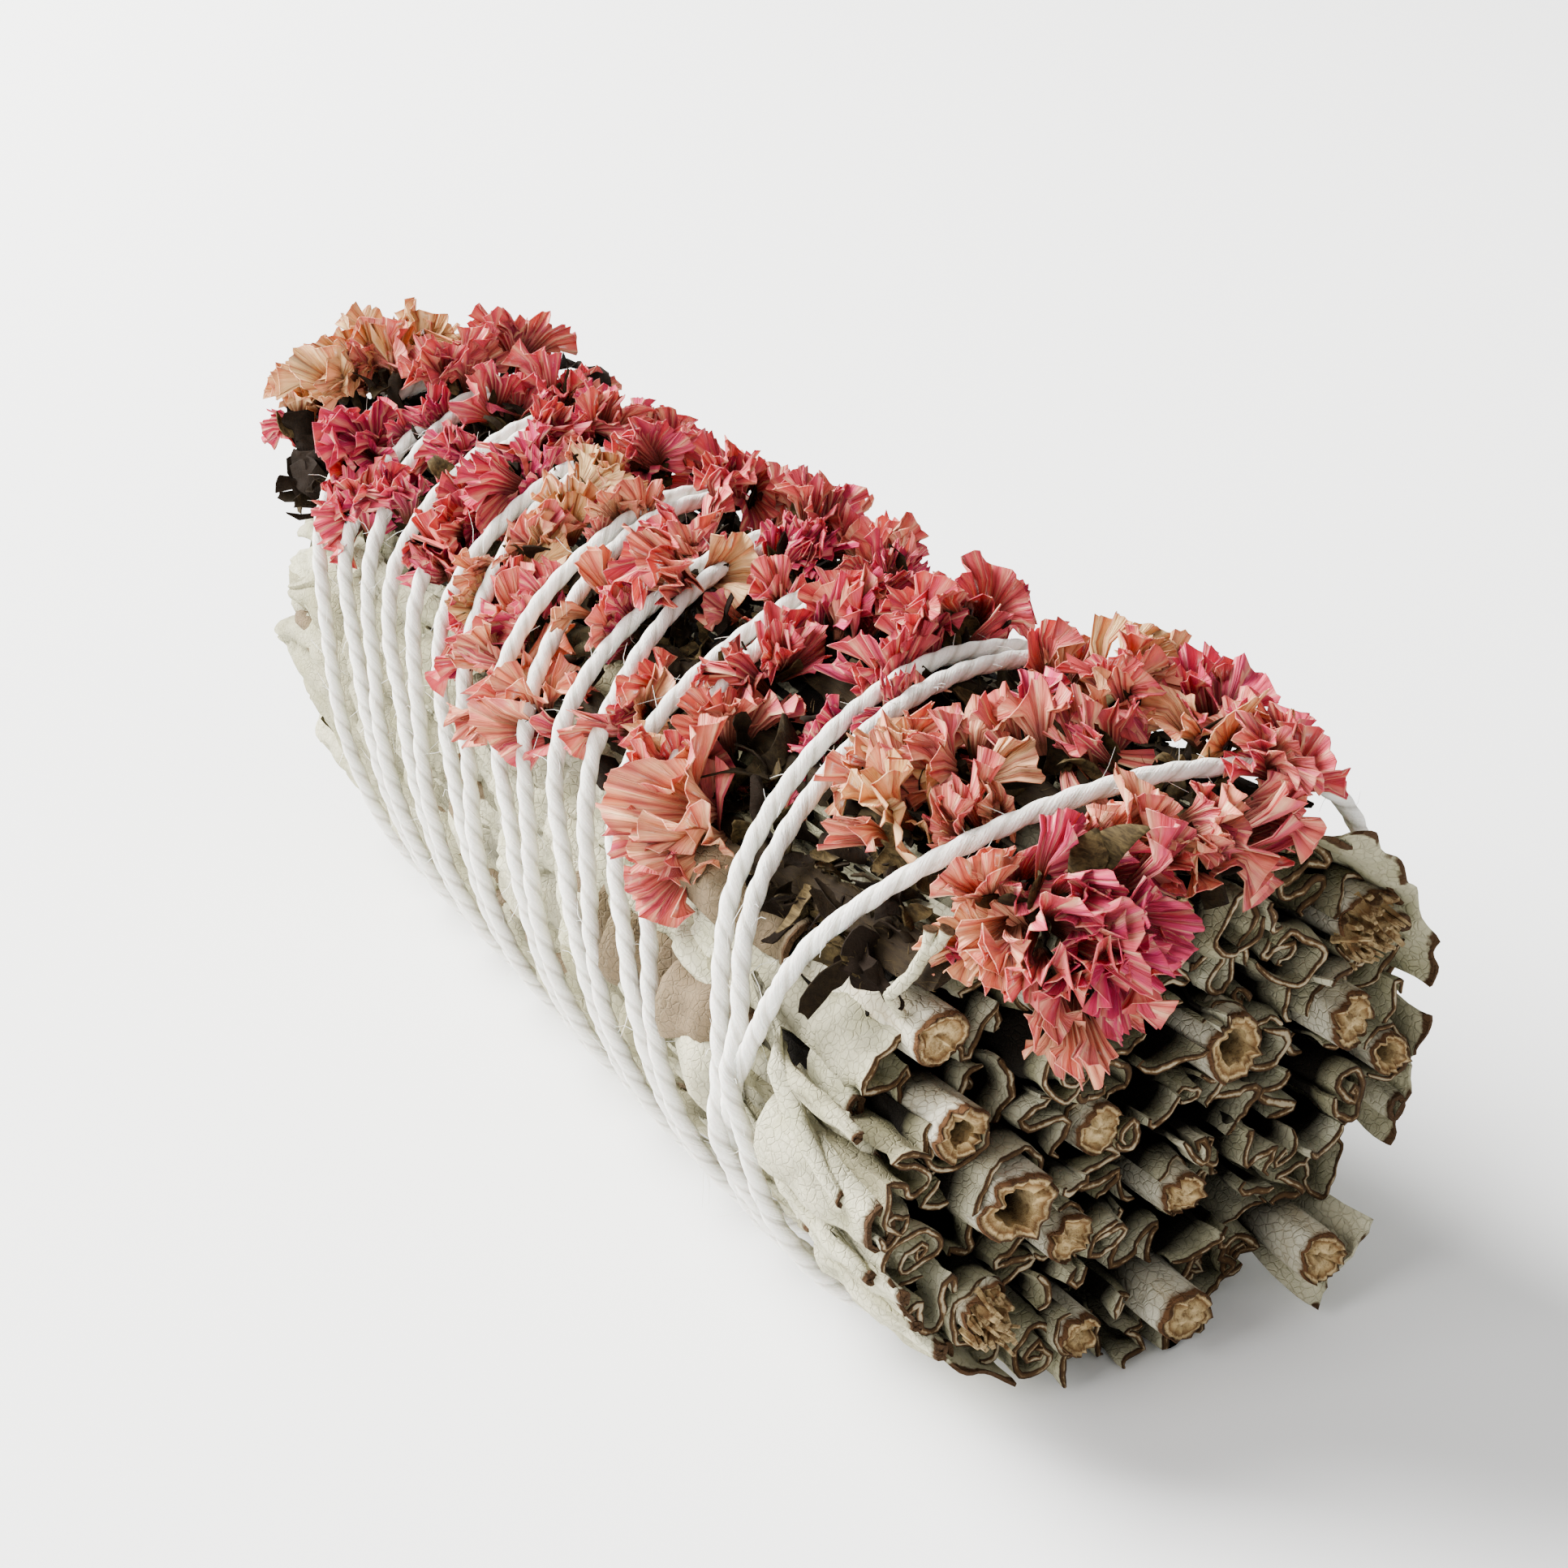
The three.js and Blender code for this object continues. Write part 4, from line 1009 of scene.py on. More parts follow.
# Leaves that pass under the first wraps and flare out in front of them
flared = [  # least and most angle, u at the rim, rise at the rim at both ends, tone
    (-80, -38, -1.2, 0.5, 1.9, 0.3), (-62, -24, 0.0, 1.2, 1.8, 0.1), (-118, -86, -0.8, 0.2, 0.2, 0.2),
    (-152, -130, -3.4, 0.6, 0.0, 0.6), (104, 150, 0.2, 0.2, 0.5, 0.6)]
flareForm = {"back": (0, 0.15, 0.5, 1.0, 1.7, 2.6, 3.6, 5.0, 7.0, 10.0, 14.0, 20.0), "step": 0.42,
             "thickness": 0.24, "ruffle": 0.35}


def addFlaredLeaf(bag, rng, low, high, rimU, riseLow, riseHigh, tone):
    columns = int(np.radians(high - low) * skinAt(0)[1] / flareForm["step"])
    u = rimU + np.array(flareForm["back"])[:, None]
    v = np.linspace(0, 1, columns)[None]
    seed = rng.uniform(0, 30)
    grid = asPoints(v * (columns * flareForm["step"]), u, seed)
    angle = mix(low, high, v) + 5 * noise(grid, 4.0, 2) + 0 * u
    out = smooth(-u, -1.0, 2.4)
    rise = mix(riseLow, riseHigh, v) * out - 0.15 - 1.3 * smooth(u, 2.2, 6)
    ruffle = flareForm["ruffle"] * out * np.sin(v * columns * 0.9 + seed)
    rise = rise + (0.25 + 0.5 * out) * noise(grid, 2.2) + ruffle
    u = u - (0.3 * noise(grid, 0.7, 4) + 0.7 * noise(grid, 3.0, 6)) * np.exp(-(u - rimU) / 2.0)
    outer = onSkin(u, angle + turnAt(u), rise, 0.5)
    inner = onSkin(u, angle + turnAt(u), rise - flareForm["thickness"], 0.2)
    back = u - rimU
    edge = np.exp(-np.maximum(back, 0) / 0.12) + 0.4 * (np.abs(v - 0.5) > 0.49)
    # painted shade on the part that runs back under the string
    outer, inner, edge, shade = (grid[:, ::-1] for grid in (outer, inner, edge, 0.4 * smooth(back, 3, 8)))
    shell(bag, outer, inner, feltLook, tone, edge, shade)


def buildSprigs():
    bags = [newBag() for _ in stems]
    rng = np.random.default_rng(61)
    for k, bag in enumerate(bags):
        addCore(bag, k)
        addStem(bag, k, rng)
    addFork(bags[0])
    addRolls(bags)
    addOuterLeaves(bags)
    addLowerLeaves(bags)
    addTipEnds(bags)
    rng = np.random.default_rng(55)
    for leaf in flared:
        addFlaredLeaf(bags[stemOf((leaf[0] + leaf[1]) / 2)], rng, *leaf)
    for u0, length, angle, half, base, tone, slant in frontRolls:
        addRolledLeaf(bags[stemOf(angle)], rng, u0, length, angle, half, base, tone, slant)
    return bags


# Statice: dark winged stems, hairy bracts and papery calyces pressed together in ruffled heads

sprays = [  # first and last u, angle
    (1, 92, 45), (-1, 98, 27), (-1, 101, 10), (1, 97, -8), (3, 84, -26)]
papery = {
    "around": 54,
    "rows": 4,
    "neck": 0.5,
    "length": (3.2, 4.7),
    "mouth": (2.1, 3.3),
    "thickness": 0.07,
    "pleats": (14, 21),
    "fold": (0.2, 0.1),  # depth of the pleats and of the finer ones
    "jag": (0.3, 0.06),
    "ruffle": 0.8,
    "crumple": (0.62, 0.16),
    "bend": 0.8,
    "clearance": 0.9,  # from the middle of the string
    "wholeShare": 0.4,
    "fan": (2.0, 4.2),  # how far round one that is torn open reaches, in radians
}
calyxLook, twigLook = 0, 1  # material places on a spray
sprayAngles = np.array([spray[2] for spray in sprays])

# u, angle, rise of the hub, number of calyces, their size, hue from 0 tan and 0.2 cream to 1 magenta, and
# whether it lies over the string
heads = [
    (0.8, 36, 0.8, 4, 0.9, 0.42, 1), (2.0, 31, 0.8, 4, 0.85, 0.5, 1), (11.2, 28, 3.2, 6, 1.15, 0.22, 1),
    (15.6, 22, 2.8, 6, 1.05, 0.3, 0), (11.4, 16, 3.4, 6, 1.1, 0.4, 0), (7.6, 22, 3.0, 5, 1.0, 0.5, 0),
    (10.2, 4, 3.4, 6, 1.1, 0.68, 0), (7.4, 0, 3.0, 5, 1.0, 0.6, 0), (5.4, -20, 4.4, 6, 1.05, 0.42, 0),
    (9.5, -26, 4.9, 6, 1.05, 0.7, 0), (14.5, -20, 4.9, 6, 1.05, 0.25, 0), (11.0, -11, 4.9, 6, 1.0, 0.55, 0),
    (1.4, -21, 3.8, 6, 1.05, 0.64, 1), (22.6, 22, 1.4, 5, 0.95, 0.95, 0), (21.0, 10, 2.0, 6, 1.0, 0.7, 0),
    (26.5, -10, 4.3, 6, 1.05, 0.66, 0), (24.5, 2, 2.4, 6, 1.0, 0.75, 0), (20.5, -22, 3.1, 5, 0.95, 0.6, 0),
    (32.0, 1, 3.0, 6, 1.1, 0.62, 0), (32.6, 18, 2.6, 6, 1.0, 0.68, 0), (30.2, 33, 2.4, 6, 1.05, 0.42, 0),
    (31.4, 44, 2.0, 6, 1.1, 0.5, 1), (26.4, 48, 2.2, 6, 1.25, 0.52, 1), (35.0, -12, 4.5, 6, 1.05, 0.66, 0),
    (31.5, -25, 3.5, 6, 1.0, 0.7, 0), (38.5, 8, 2.4, 6, 1.0, 0.55, 0), (39.5, 38, 2.0, 5, 1.0, 0.6, 0),
    (45.2, 12, 3.4, 5, 1.3, 0.42, 1), (41.6, -6, 4.1, 6, 1.0, 0.98, 0), (46.0, -16, 4.7, 6, 1.05, 0.7, 0),
    (40.0, -25, 3.7, 6, 1.0, 0.62, 0), (45.5, 27, 2.2, 6, 1.0, 0.62, 0), (49.5, 27, 2.4, 6, 1.0, 0.3, 0),
    (48.8, 52, 2.0, 6, 1.15, 0.42, 1), (55.5, 54, 2.0, 6, 1.1, 0.45, 1), (50.5, 3, 3.0, 6, 1.05, 0.62, 0),
    (55.6, -14, 4.7, 6, 1.05, 0.72, 0), (51.0, -28, 3.5, 6, 1.0, 0.66, 0), (56.5, 12, 2.8, 6, 1.0, 0.5, 0),
    (61.0, 27, 2.8, 6, 1.05, 0.34, 0), (62.5, 40, 2.6, 6, 1.05, 0.3, 0), (62.0, 51, 2.0, 6, 1.05, 0.72, 0),
    (56.0, 40, 2.0, 6, 1.0, 0.66, 0), (64.0, 10, 3.2, 6, 1.05, 0.36, 0), (64.4, -7, 4.3, 6, 1.05, 0.72, 0),
    (63.5, -24, 3.9, 6, 1.05, 0.68, 0), (70.8, 46, 2.2, 6, 1.05, 0.74, 0), (69.5, 17, 3.0, 6, 1.0, 0.82, 0),
    (71.5, 33, 2.6, 6, 1.0, 0.7, 0), (73.5, -9, 3.9, 6, 1.05, 0.74, 0), (74.5, -25, 4.1, 6, 1.05, 0.6, 0),
    (74.5, 5, 3.0, 6, 1.0, 0.68, 0), (79.5, 24, 3.0, 6, 1.0, 0.72, 0), (82.0, 4, 3.4, 6, 1.05, 0.7, 0),
    (82.5, -14, 4.5, 6, 1.05, 0.6, 0), (86.0, 22, 3.2, 6, 1.05, 0.8, 0), (89.0, 38, 3.9, 6, 1.2, 0.9, 1),
    (85.0, 50, 3.0, 6, 1.15, 0.78, 1), (81.0, 42, 2.6, 6, 1.0, 0.85, 0), (89.5, 7, 4.9, 6, 1.1, 0.5, 0),
    (91.0, -10, 6.2, 6, 1.1, 0.55, 0), (95.5, 18, 5.7, 6, 1.15, 0.22, 0), (97.0, 4, 5.7, 6, 1.15, 0.12, 0),
    (101.0, 14, 6.3, 6, 1.2, 0.04, 0), (103.0, 28, 5.7, 6, 1.1, 0.1, 0), (103.5, 36, 5.5, 3, 0.8, 0.72, 0),
    (102.0, 0, 5.3, 6, 1.1, 0.2, 0)]
tipHeads = [(98.5, 24, 6.4, 5, 1.15, 0.08, 0), (99.0, 9, 6.6, 5, 1.15, 0.1, 0)]  # on top of those

# The head that nods over the cut end
noddingHead = [  # u, y and z of each calyx's root, its direction, size, hue and span
    (-0.4, -12.0, 34.4, (0.45, -0.7, 0.2), 1.0, 0.34, 2.6),
    (-0.4, -11.6, 33.4, (0.6, -0.6, -0.3), 1.0, 0.45, 2.8),
    (-0.2, -13.0, 33.6, (0.4, -0.6, 0.0), 0.85, 0.4, 3.0),
    (-1.0, -11.4, 36.2, (0.25, -0.25, 1.0), 1.2, 0.9, 2.2),
    (-1.6, -10.6, 35.6, (0.6, -0.45, 0.5), 1.0, 0.85, 2.8),
    (-1.4, -7.4, 35.4, (0.65, 0.25, 0.5), 1.0, 0.8, 3.0),
    (-1.6, -6.4, 34.4, (0.7, 0.6, 0.3), 1.1, 0.7, 3.2),
    (-1.8, -8.8, 35.0, (0.95, 0.05, 0.35), 1.1, 0.82, 6.3),
    (-2.0, -7.2, 33.6, (1.0, 0.35, 0.05), 1.15, 0.9, 6.3),
    (-2.0, -9.6, 33.8, (1.0, -0.15, 0.1), 1.2, 0.95, 6.3),
    (-1.8, -11.2, 34.2, (0.85, -0.5, 0.15), 1.1, 0.7, 4.6),
    (-1.8, -11.4, 32.6, (0.75, -0.5, -0.4), 1.1, 0.6, 3.4),
    (-2.2, -9.8, 32.4, (0.9, -0.2, -0.45), 1.2, 0.66, 4.4),
    (-2.2, -7.6, 32.2, (0.9, 0.2, -0.45), 1.15, 0.8, 4.4),
    (-2.0, -6.0, 32.4, (0.7, 0.6, -0.4), 1.1, 0.62, 3.2),
    (-2.4, -10.8, 31.2, (0.55, -0.45, -0.85), 1.2, 0.5, 2.8),
    (-2.6, -9.2, 30.6, (0.55, -0.2, -0.95), 1.3, 0.46, 2.8),
    (-2.6, -9.8, 29.8, (0.35, -0.35, -1.0), 1.25, 0.4, 2.4),
    (-2.4, -7.6, 30.8, (0.5, 0.15, -1.0), 1.2, 0.55, 2.0),
    (-3.2, -8.8, 32.8, (0.9, -0.05, -0.1), 1.1, 0.98, 5.2),
    (-3.0, -7.8, 34.2, (0.85, 0.2, 0.3), 1.0, 0.86, 4.6),
    (-2.8, -9.4, 34.6, (0.8, -0.3, 0.4), 0.95, 0.9, 4.6),
    (-0.2, 1.2, 35.8, (0.55, 0.75, 0.2), 1.25, 0.5, 3.0),
    (-0.4, 2.2, 35.4, (0.6, 0.75, 0.05), 1.25, 0.58, 3.2),
    (-0.2, 0.2, 35.8, (0.75, 0.3, 0.3), 1.1, 0.42, 3.6),
    (-0.6, 3.2, 35.6, (0.5, 0.85, 0.15), 1.25, 0.62, 3.0),
    (-0.4, -1.4, 36.0, (0.8, -0.1, 0.25), 1.0, 0.34, 3.2),
    (-0.6, -2.6, 35.8, (0.85, 0.1, 0.0), 0.95, 0.6, 3.0),
    (0.2, -3.6, 36.2, (0.75, 0.2, 0.3), 0.9, 0.5, 3.4),
    (-1.2, 1.6, 34.8, (0.75, 0.6, -0.1), 1.1, 0.66, 3.2),
    (-0.8, -0.6, 35.0, (0.85, 0.3, 0.1), 1.0, 0.46, 4.0),
    (0.4, 4.2, 36.2, (0.4, 0.85, 0.3), 1.1, 0.55, 3.0),
    (1.2, -10.4, 35.2, (0.55, -0.35, 0.6), 0.9, 0.7, 6.3),
    (1.0, -8.2, 35.9, (0.65, -0.1, 0.6), 0.9, 0.55, 6.3),
    (1.0, -6.0, 36.2, (0.65, 0.1, 0.6), 0.9, 0.42, 6.3),
    (0.8, -3.8, 36.4, (0.65, 0.1, 0.6), 0.9, 0.36, 6.3),
    (0.8, -1.6, 36.5, (0.7, 0.1, 0.55), 0.9, 0.55, 6.3), (0.6, 0.6, 36.5, (0.65, 0.3, 0.5), 0.9, 0.6, 6.3),
    (2.2, -12.4, 34.6, (0.4, -0.4, 0.6), 0.85, 0.45, 6.3)]


def unit(v):
    v = np.asarray(v, float)
    return v / np.linalg.norm(v)


def sprayOf(angle):
    return int(np.argmin(np.abs(sprayAngles - angle)))


# Petals stay between the two passes of the string beside their root, and close over it higher up
def squeezed(points, rootU, rootAngle):
    u, angle, rise = whereAbout(points)
    last = len(passLists) - 1
    i = np.clip(np.round((angle + 180) / passStep).astype(int), 0, last)
    low, high = np.full(last + 1, -30.0), np.full(last + 1, 140.0)
    rootIndex = int(np.clip(round((rootAngle + 180) / passStep), 0, last))
    passesBefore = int(np.searchsorted(passLists[rootIndex], rootU))
    for k in np.unique(i):
        passes = passLists[k]
        below, above = passes[passes < rootU], passes[passes >= rootU]
        if passesBefore and len(below):
            low[k] = below[-1]
        if len(above):
            high[k] = above[0]
    spill = 0.45 * np.maximum(rise - cord["topRise"] - 0.8, 0)
    lowLimit = low[i] + papery["clearance"] - spill
    highLimit = np.maximum(high[i] - papery["clearance"] + spill, lowLimit + 0.6)
    middle, half = (lowLimit + highLimit) / 2, (highLimit - lowLimit) / 2
    x = (u - middle) / half
    x = np.where(np.abs(x) > 0.7, np.sign(x) * (0.7 + 0.3 * np.tanh((np.abs(x) - 0.7) / 0.3)), x)
    moved = points.copy()
    moved[..., 0] += u - (middle + x * half)
    return moved


# One calyx, whole or torn open into a fan: pleated, crimped along its rim and bent
def addCalyx(bag, rng, root, axis, hue, size=1.0, squeeze=None, span=None):
    form = papery
    if span is None:
        span = 2 * np.pi if rng.random() < form["wholeShare"] else rng.uniform(*form["fan"])
    whole = span > 6
    k = max(int(form["around"] * min(span / 5.5, 1)), 20)
    theta = np.linspace(0, span, k + 1)[:-1] if whole else np.linspace(0, span, k)
    t = np.linspace(0, 1, form["rows"])[:, None]
    length, mouth = rng.uniform(*form["length"]) * size, rng.uniform(*form["mouth"]) * size
    pleats = rng.integers(*form["pleats"]) * (1 if whole else 1.3)
    phase = rng.uniform(0, 6, 8)
    turn = pleats * theta + phase[0] + 0.9 * np.sin(theta * 2 + phase[1])
    fold, fine = np.sin(turn), np.sin(0.55 * turn + phase[2])
    flare = 0.4 * t + 0.6 * t ** 2.2 if whole else 0.7 * t + 0.3 * t ** 2
    r = form["neck"] + (mouth - form["neck"]) * flare * (1 + 0.07 * np.cos(5 * theta + phase[3]))
    crimp = form["ruffle"] * size * t ** 3 * np.sin(0.3 * turn + 1.2 * np.sin(theta + phase[4]))
    push = size * t * (form["fold"][0] * fold + form["fold"][1] * fine) + crimp
    steep = 0.35 + 0.5 * t  # how far the petal has turned outward, so how a push splits
    rim = asPoints(theta * 5, phase[5], 0)
    jag = form["jag"][0] * noise(rim, 0.4) + form["jag"][1] * fine
    h = length * (t - 0.2 * t ** 3) - push * steep + t ** 5 * (jag - 0.12 * np.abs(fold))
    r = r + push * (1 - 0.5 * steep) + t ** 5 * jag * 0.3
    flat = rng.uniform(0.3, 0.85) if whole else rng.uniform(0.45, 1.0)
    bend = rng.normal(size=2) * form["bend"] * size
    across = unit(np.cross(axis, rng.normal(size=3)))
    side = np.cross(axis, across)
    middle = 0 if whole else span / 2
    x = r * np.cos(theta - middle) + bend[0] * t ** 2
    y = r * np.sin(theta - middle) * flat + bend[1] * t ** 2
    outer = root + x[..., None] * across + y[..., None] * side + h[..., None] * axis
    shifts = 11 * np.arange(3)
    crumple, wrinkle = crumpled(outer, 2.3, phase[6] + shifts), crumpled(outer, 0.9, phase[6] + 5 + shifts)
    outer = outer + size * t[..., None] * (form["crumple"][0] * crumple + form["crumple"][1] * wrinkle)
    if squeeze is not None:
        outer = squeezed(outer, *squeeze)
    outer[..., 2] = np.maximum(outer[..., 2], 0.3)
    normal = np.cross(np.gradient(outer, axis=1), np.gradient(outer, axis=0))
    normal /= np.linalg.norm(normal, axis=2)[..., None] + 1e-9
    shell(bag, outer, outer - normal * form["thickness"], calyxLook, hue, 0.5 + 0.5 * fold + 0 * t,
          t + 0 * theta, wrapped=whole, turn=theta * size + phase[7] * 10)


# A crumpled blade: a bract, a scrap of leaf or a wing
bract = {"rows": 7, "columns": 4, "thickness": 0.12, "curl": 0.9, "crumple": 0.4}


def addBract(bag, rng, root, axis, length, width, tone=0.5, blunt=False):
    t, v = lengthAndWidth(bract["rows"], bract["columns"])
    across = unit(np.cross(axis, rng.normal(size=3)))
    side = np.cross(axis, across)
    curl = rng.uniform(-bract["curl"], bract["curl"])
    w = width * np.sin(np.pi * (0.12 + 0.86 * t)) ** (0.35 if blunt else 0.8)
    if blunt:
        w = w * (1 + 0.5 * noise(asPoints(t * length, rng.uniform(0, 30), 0), 0.8))
    lift = curl * t ** 2 * length + 0.4 * w * v * v
    outer = root + (t * length)[..., None] * axis + (w * v)[..., None] * across + lift[..., None] * side
    crumple = crumpled(outer, 1.2 if blunt else 1.7, rng.uniform(0, 30, 3))
    outer = outer + (bract["crumple"] + 0.06 * length) * crumple
    outer[..., 2] = np.maximum(outer[..., 2], 0.3)
    shell(bag, outer, outer - bract["thickness"] * side, twigLook, tone, np.abs(v) + 0 * t, t + 0 * v)


hair = {"radius": 0.03, "bend": 0.2, "sides": 3}


def addHair(bag, rng, root, axis, length):
    t = np.linspace(0, 1, 3)[:, None]
    path = root + t * length * axis + t * t * rng.normal(size=3) * hair["bend"]
    tube(bag, path, hair["radius"] * (1 - 0.8 * t[:, 0]), hair["sides"], twigLook, tone=0.8)


def outward(u, angle, far=6):
    return unit(onSkin(u, angle, far) - onSkin(u, angle, 0))


winged = {"step": 0.8, "around": 12, "rise": 0.95, "thickness": 0.42, "half": 0.9, "wing": 0.4,
          "uneven": 0.15, "hairs": 3, "hairLength": (0.4, 1.1)}


def addWingedStem(bag, rng, k):
    first, last, angle = sprays[k]
    u = np.arange(first, last, winged["step"])
    middle = angle + turnAt(u) + np.sin(u / 4 + angle)
    count = winged["around"]
    a = np.linspace(0, 2 * np.pi, count, endpoint=False)
    wingEdge = np.abs(np.cos(a))
    half = winged["half"] + winged["wing"] * np.abs(np.sin(u / 5 + k))
    half = half + winged["uneven"] * rng.normal(size=len(u))
    wing = half[:, None] * np.cos(a)
    crisp = 0.25 * np.sin(u[:, None] * 2.1 + k) * wingEdge ** 3
    rings = onSkin(u[:, None], middle[:, None] + np.degrees(wing / skinAt(u)[1][:, None]),
                   winged["rise"] + crisp + winged["thickness"] * np.sin(a) * (1 - 0.75 * wingEdge))
    put(bag, capped(rings), gridFaces(len(rings) + 2, count, True), twigLook, tone=0.35,
        edge=wingEdge[None] * np.ones((len(u) + 2, 1)), way=0.5)
    for i in range(len(u)):
        out = outward(u[i], middle[i], 5)
        for _ in range(winged["hairs"]):
            root = rings[i, rng.integers(count)]
            addHair(bag, rng, root, unit(out + rng.normal(size=3) * 0.7), rng.uniform(*winged["hairLength"]))


# A head: fans nested against each other, most of them leaning one way
headForm = {"stalk": 0.4, "tilt": (0.35, 1.15), "spread": (0.6, 1.9), "hue": 0.14, "sizes": (0.82, 1.05),
            "bractLength": (1.8, 3.2), "bractWidth": (0.4, 0.8)}


def addHead(bag, rng, u, angle, rise, count, size, hue, over):
    form = headForm
    middle = angle + float(turnAt(u))
    out = outward(u, middle)
    ahead = np.array((1.0, 0, 0))
    sideways = np.cross(out, ahead)
    foot, hub = onSkin(u, middle, 0.9), onSkin(u, middle, rise, 0.5)
    tube(bag, foot + np.linspace(0, 1, 4)[:, None] * (hub - foot), form["stalk"], 6, twigLook, tone=0.4)
    lean = rng.uniform(0, 2 * np.pi)
    for i in range(count):
        a = lean + (rng.normal() * 0.8 if i % 3 else rng.uniform(2.0, 4.3))
        tilt = rng.uniform(*form["tilt"])
        axis = unit(out * math.cos(tilt) + (ahead * math.cos(a) + sideways * math.sin(a)) * math.sin(tilt))
        b = 2 * np.pi * i / count + lean
        around = (ahead * math.cos(b) + sideways * math.sin(b)) * rng.uniform(*form["spread"])
        base = hub + around - out * rng.uniform(*form["spread"])
        addCalyx(bag, rng, base, axis, np.clip(hue + rng.normal() * form["hue"], 0, 1),
                 size * rng.uniform(*form["sizes"]), None if over else (u, middle))
        addBract(bag, rng, base - axis * 0.8, unit(axis + rng.normal(size=3) * 0.3),
                 rng.uniform(*form["bractLength"]), rng.uniform(*form["bractWidth"]), tone=rng.random())


scraps = {
    "count": 560,
    "last": 100,
    "angles": (-36, 53),
    "clear": (37, 7.5),  # past this angle none lies nearer to the cut end than this
    "top": 1.6,
    "lengths": (1.2, 3.6),
    "widths": (0.3, 0.9),
    "hairs": 2,
    "hairLength": (0.4, 0.9),
}
darkPlaces = [  # u and angle, how far they spread each way, highest rise
    (13, 42, 5, 6, 1.8), (24, 31, 4, 7, 1.6), (4, -8, 1.6, 4, 3.2), (100, 40, 3, 9, 1.6),
    (92, -24, 4, 7, 2.0), (39, 22, 3, 5, 1.6), (9, 47, 4, 4, 1.6), (12, 36, 4, 5, 2.0), (28, -8, 5, 8, 2.4),
    (24, 26, 4, 5, 1.6)]


def addScraps(bags, rng):
    clearAngle, clearU = scraps["clear"]
    for i in range(scraps["count"]):
        u, angle, top = rng.uniform(0, scraps["last"]), rng.uniform(*scraps["angles"]), scraps["top"]
        if i % 5 < 2:  # thicker where no calyx hides them
            place = darkPlaces[rng.integers(len(darkPlaces))]
            u, angle, top = rng.normal(place[0], place[2]), rng.normal(place[1], place[3]), place[4]
            u = min(max(u, 0.5), scraps["last"])
        if angle > clearAngle:
            u = max(u, clearU)
        bag = bags[sprayOf(angle)]
        turned = angle + float(turnAt(u))
        root = onSkin(u, turned, rng.uniform(-0.3, top))
        out = outward(u, turned)
        axis = out * rng.uniform(-0.3, 0.4) + rng.normal(size=3) * 0.55 + (rng.choice([-0.8, 0.8]), 0, 0)
        axis = unit(axis)
        addBract(bag, rng, root, axis, rng.uniform(*scraps["lengths"]), rng.uniform(*scraps["widths"]),
                 rng.random() ** 1.8, True)
        for _ in range(scraps["hairs"]):
            addHair(bag, rng, root + axis * rng.uniform(0, 2), unit(out + rng.normal(size=3) * 0.8),
                    rng.uniform(*scraps["hairLength"]))


# Large leaves among the flowers of the tip, coloured near black as painted shade for the hollow under them
tipShadeLeaves = [  # u, angle, rise, length, width, how far it stands out
    (98, 40, 1.8, 5, 1.5, 0.3), (100, 34, 2.4, 5, 1.5, 0.3), (101, 28, 2.0, 5, 1.5, 0.4),
    (99, 46, 1.2, 5, 1.4, 0.2), (102, 22, 1.4, 5, 1.5, 0.5), (102, 12, 1.2, 5, 1.5, 0.5),
    (101, 2, 1.0, 5, 1.4, 0.5), (96, 40, 2.4, 5, 1.4, 0.2), (95, 48, 1.2, 5, 1.4, 0.1),
    (102, 40, 1.0, 4, 1.5, 0.2)]
tipBlades = [  # first and last u, angle, rise at its root and further on, half width in degrees
    (76, 90, -25, 2.0, 6.6, 2.6), (80, 92, -31, 1.6, 5.2, 2.4)]


def addBlade(bag, rng, first, last, angle, low, high, half):
    s, v = lengthAndWidth(14, 5)
    u = mix(first, last, s) + 0 * v
    rise = mix(low, high, smooth(s, 0, 0.45)) + 0.7 * noise(asPoints(u / 2.5, v, rng.uniform(0, 30)), 1.0)
    turned = angle + 2 * np.sin(5 * s) + half * v * np.sin(np.pi * (0.06 + 0.9 * s)) ** 0.6
    rise = rise + 0.5 * v * v
    outer, inner = onSkin(u, turned, rise), onSkin(u, turned, rise - 0.15)
    shell(bag, outer, inner, twigLook, 0.05, np.abs(v) + 0 * s, s + 0 * v)


def addTipLeaves(bags, rng):
    for u, angle, rise, length, width, standing in tipShadeLeaves:
        for _ in range(4):
            turned = angle + rng.uniform(-6, 6) + float(turnAt(u))
            out = outward(u, turned)
            axis = unit(out * rng.uniform(0.4, 1.2) * standing + rng.normal(size=3) * 0.25 - (0.7, 0, 0))
            # tone 0.05: near black, as painted shade
            addBract(bags[sprayOf(angle)], rng, onSkin(u, turned, rise - 0.8), axis,
                     length * rng.uniform(0.5, 1), width, 0.05, True)
    for blade in tipBlades:  # long ones lying along the far side
        addBlade(bags[4], rng, *blade)


oliveBracts = [(2.2, -9.2, 36.6), (1.6, -8.2, 37.0)]  # between the nodding fans: x past the cut end, y, z
stalks = [(1, -9.2, 34.0), (2, 0.6, 35.0)]  # spray, y and z where a stalk bends over the cut end


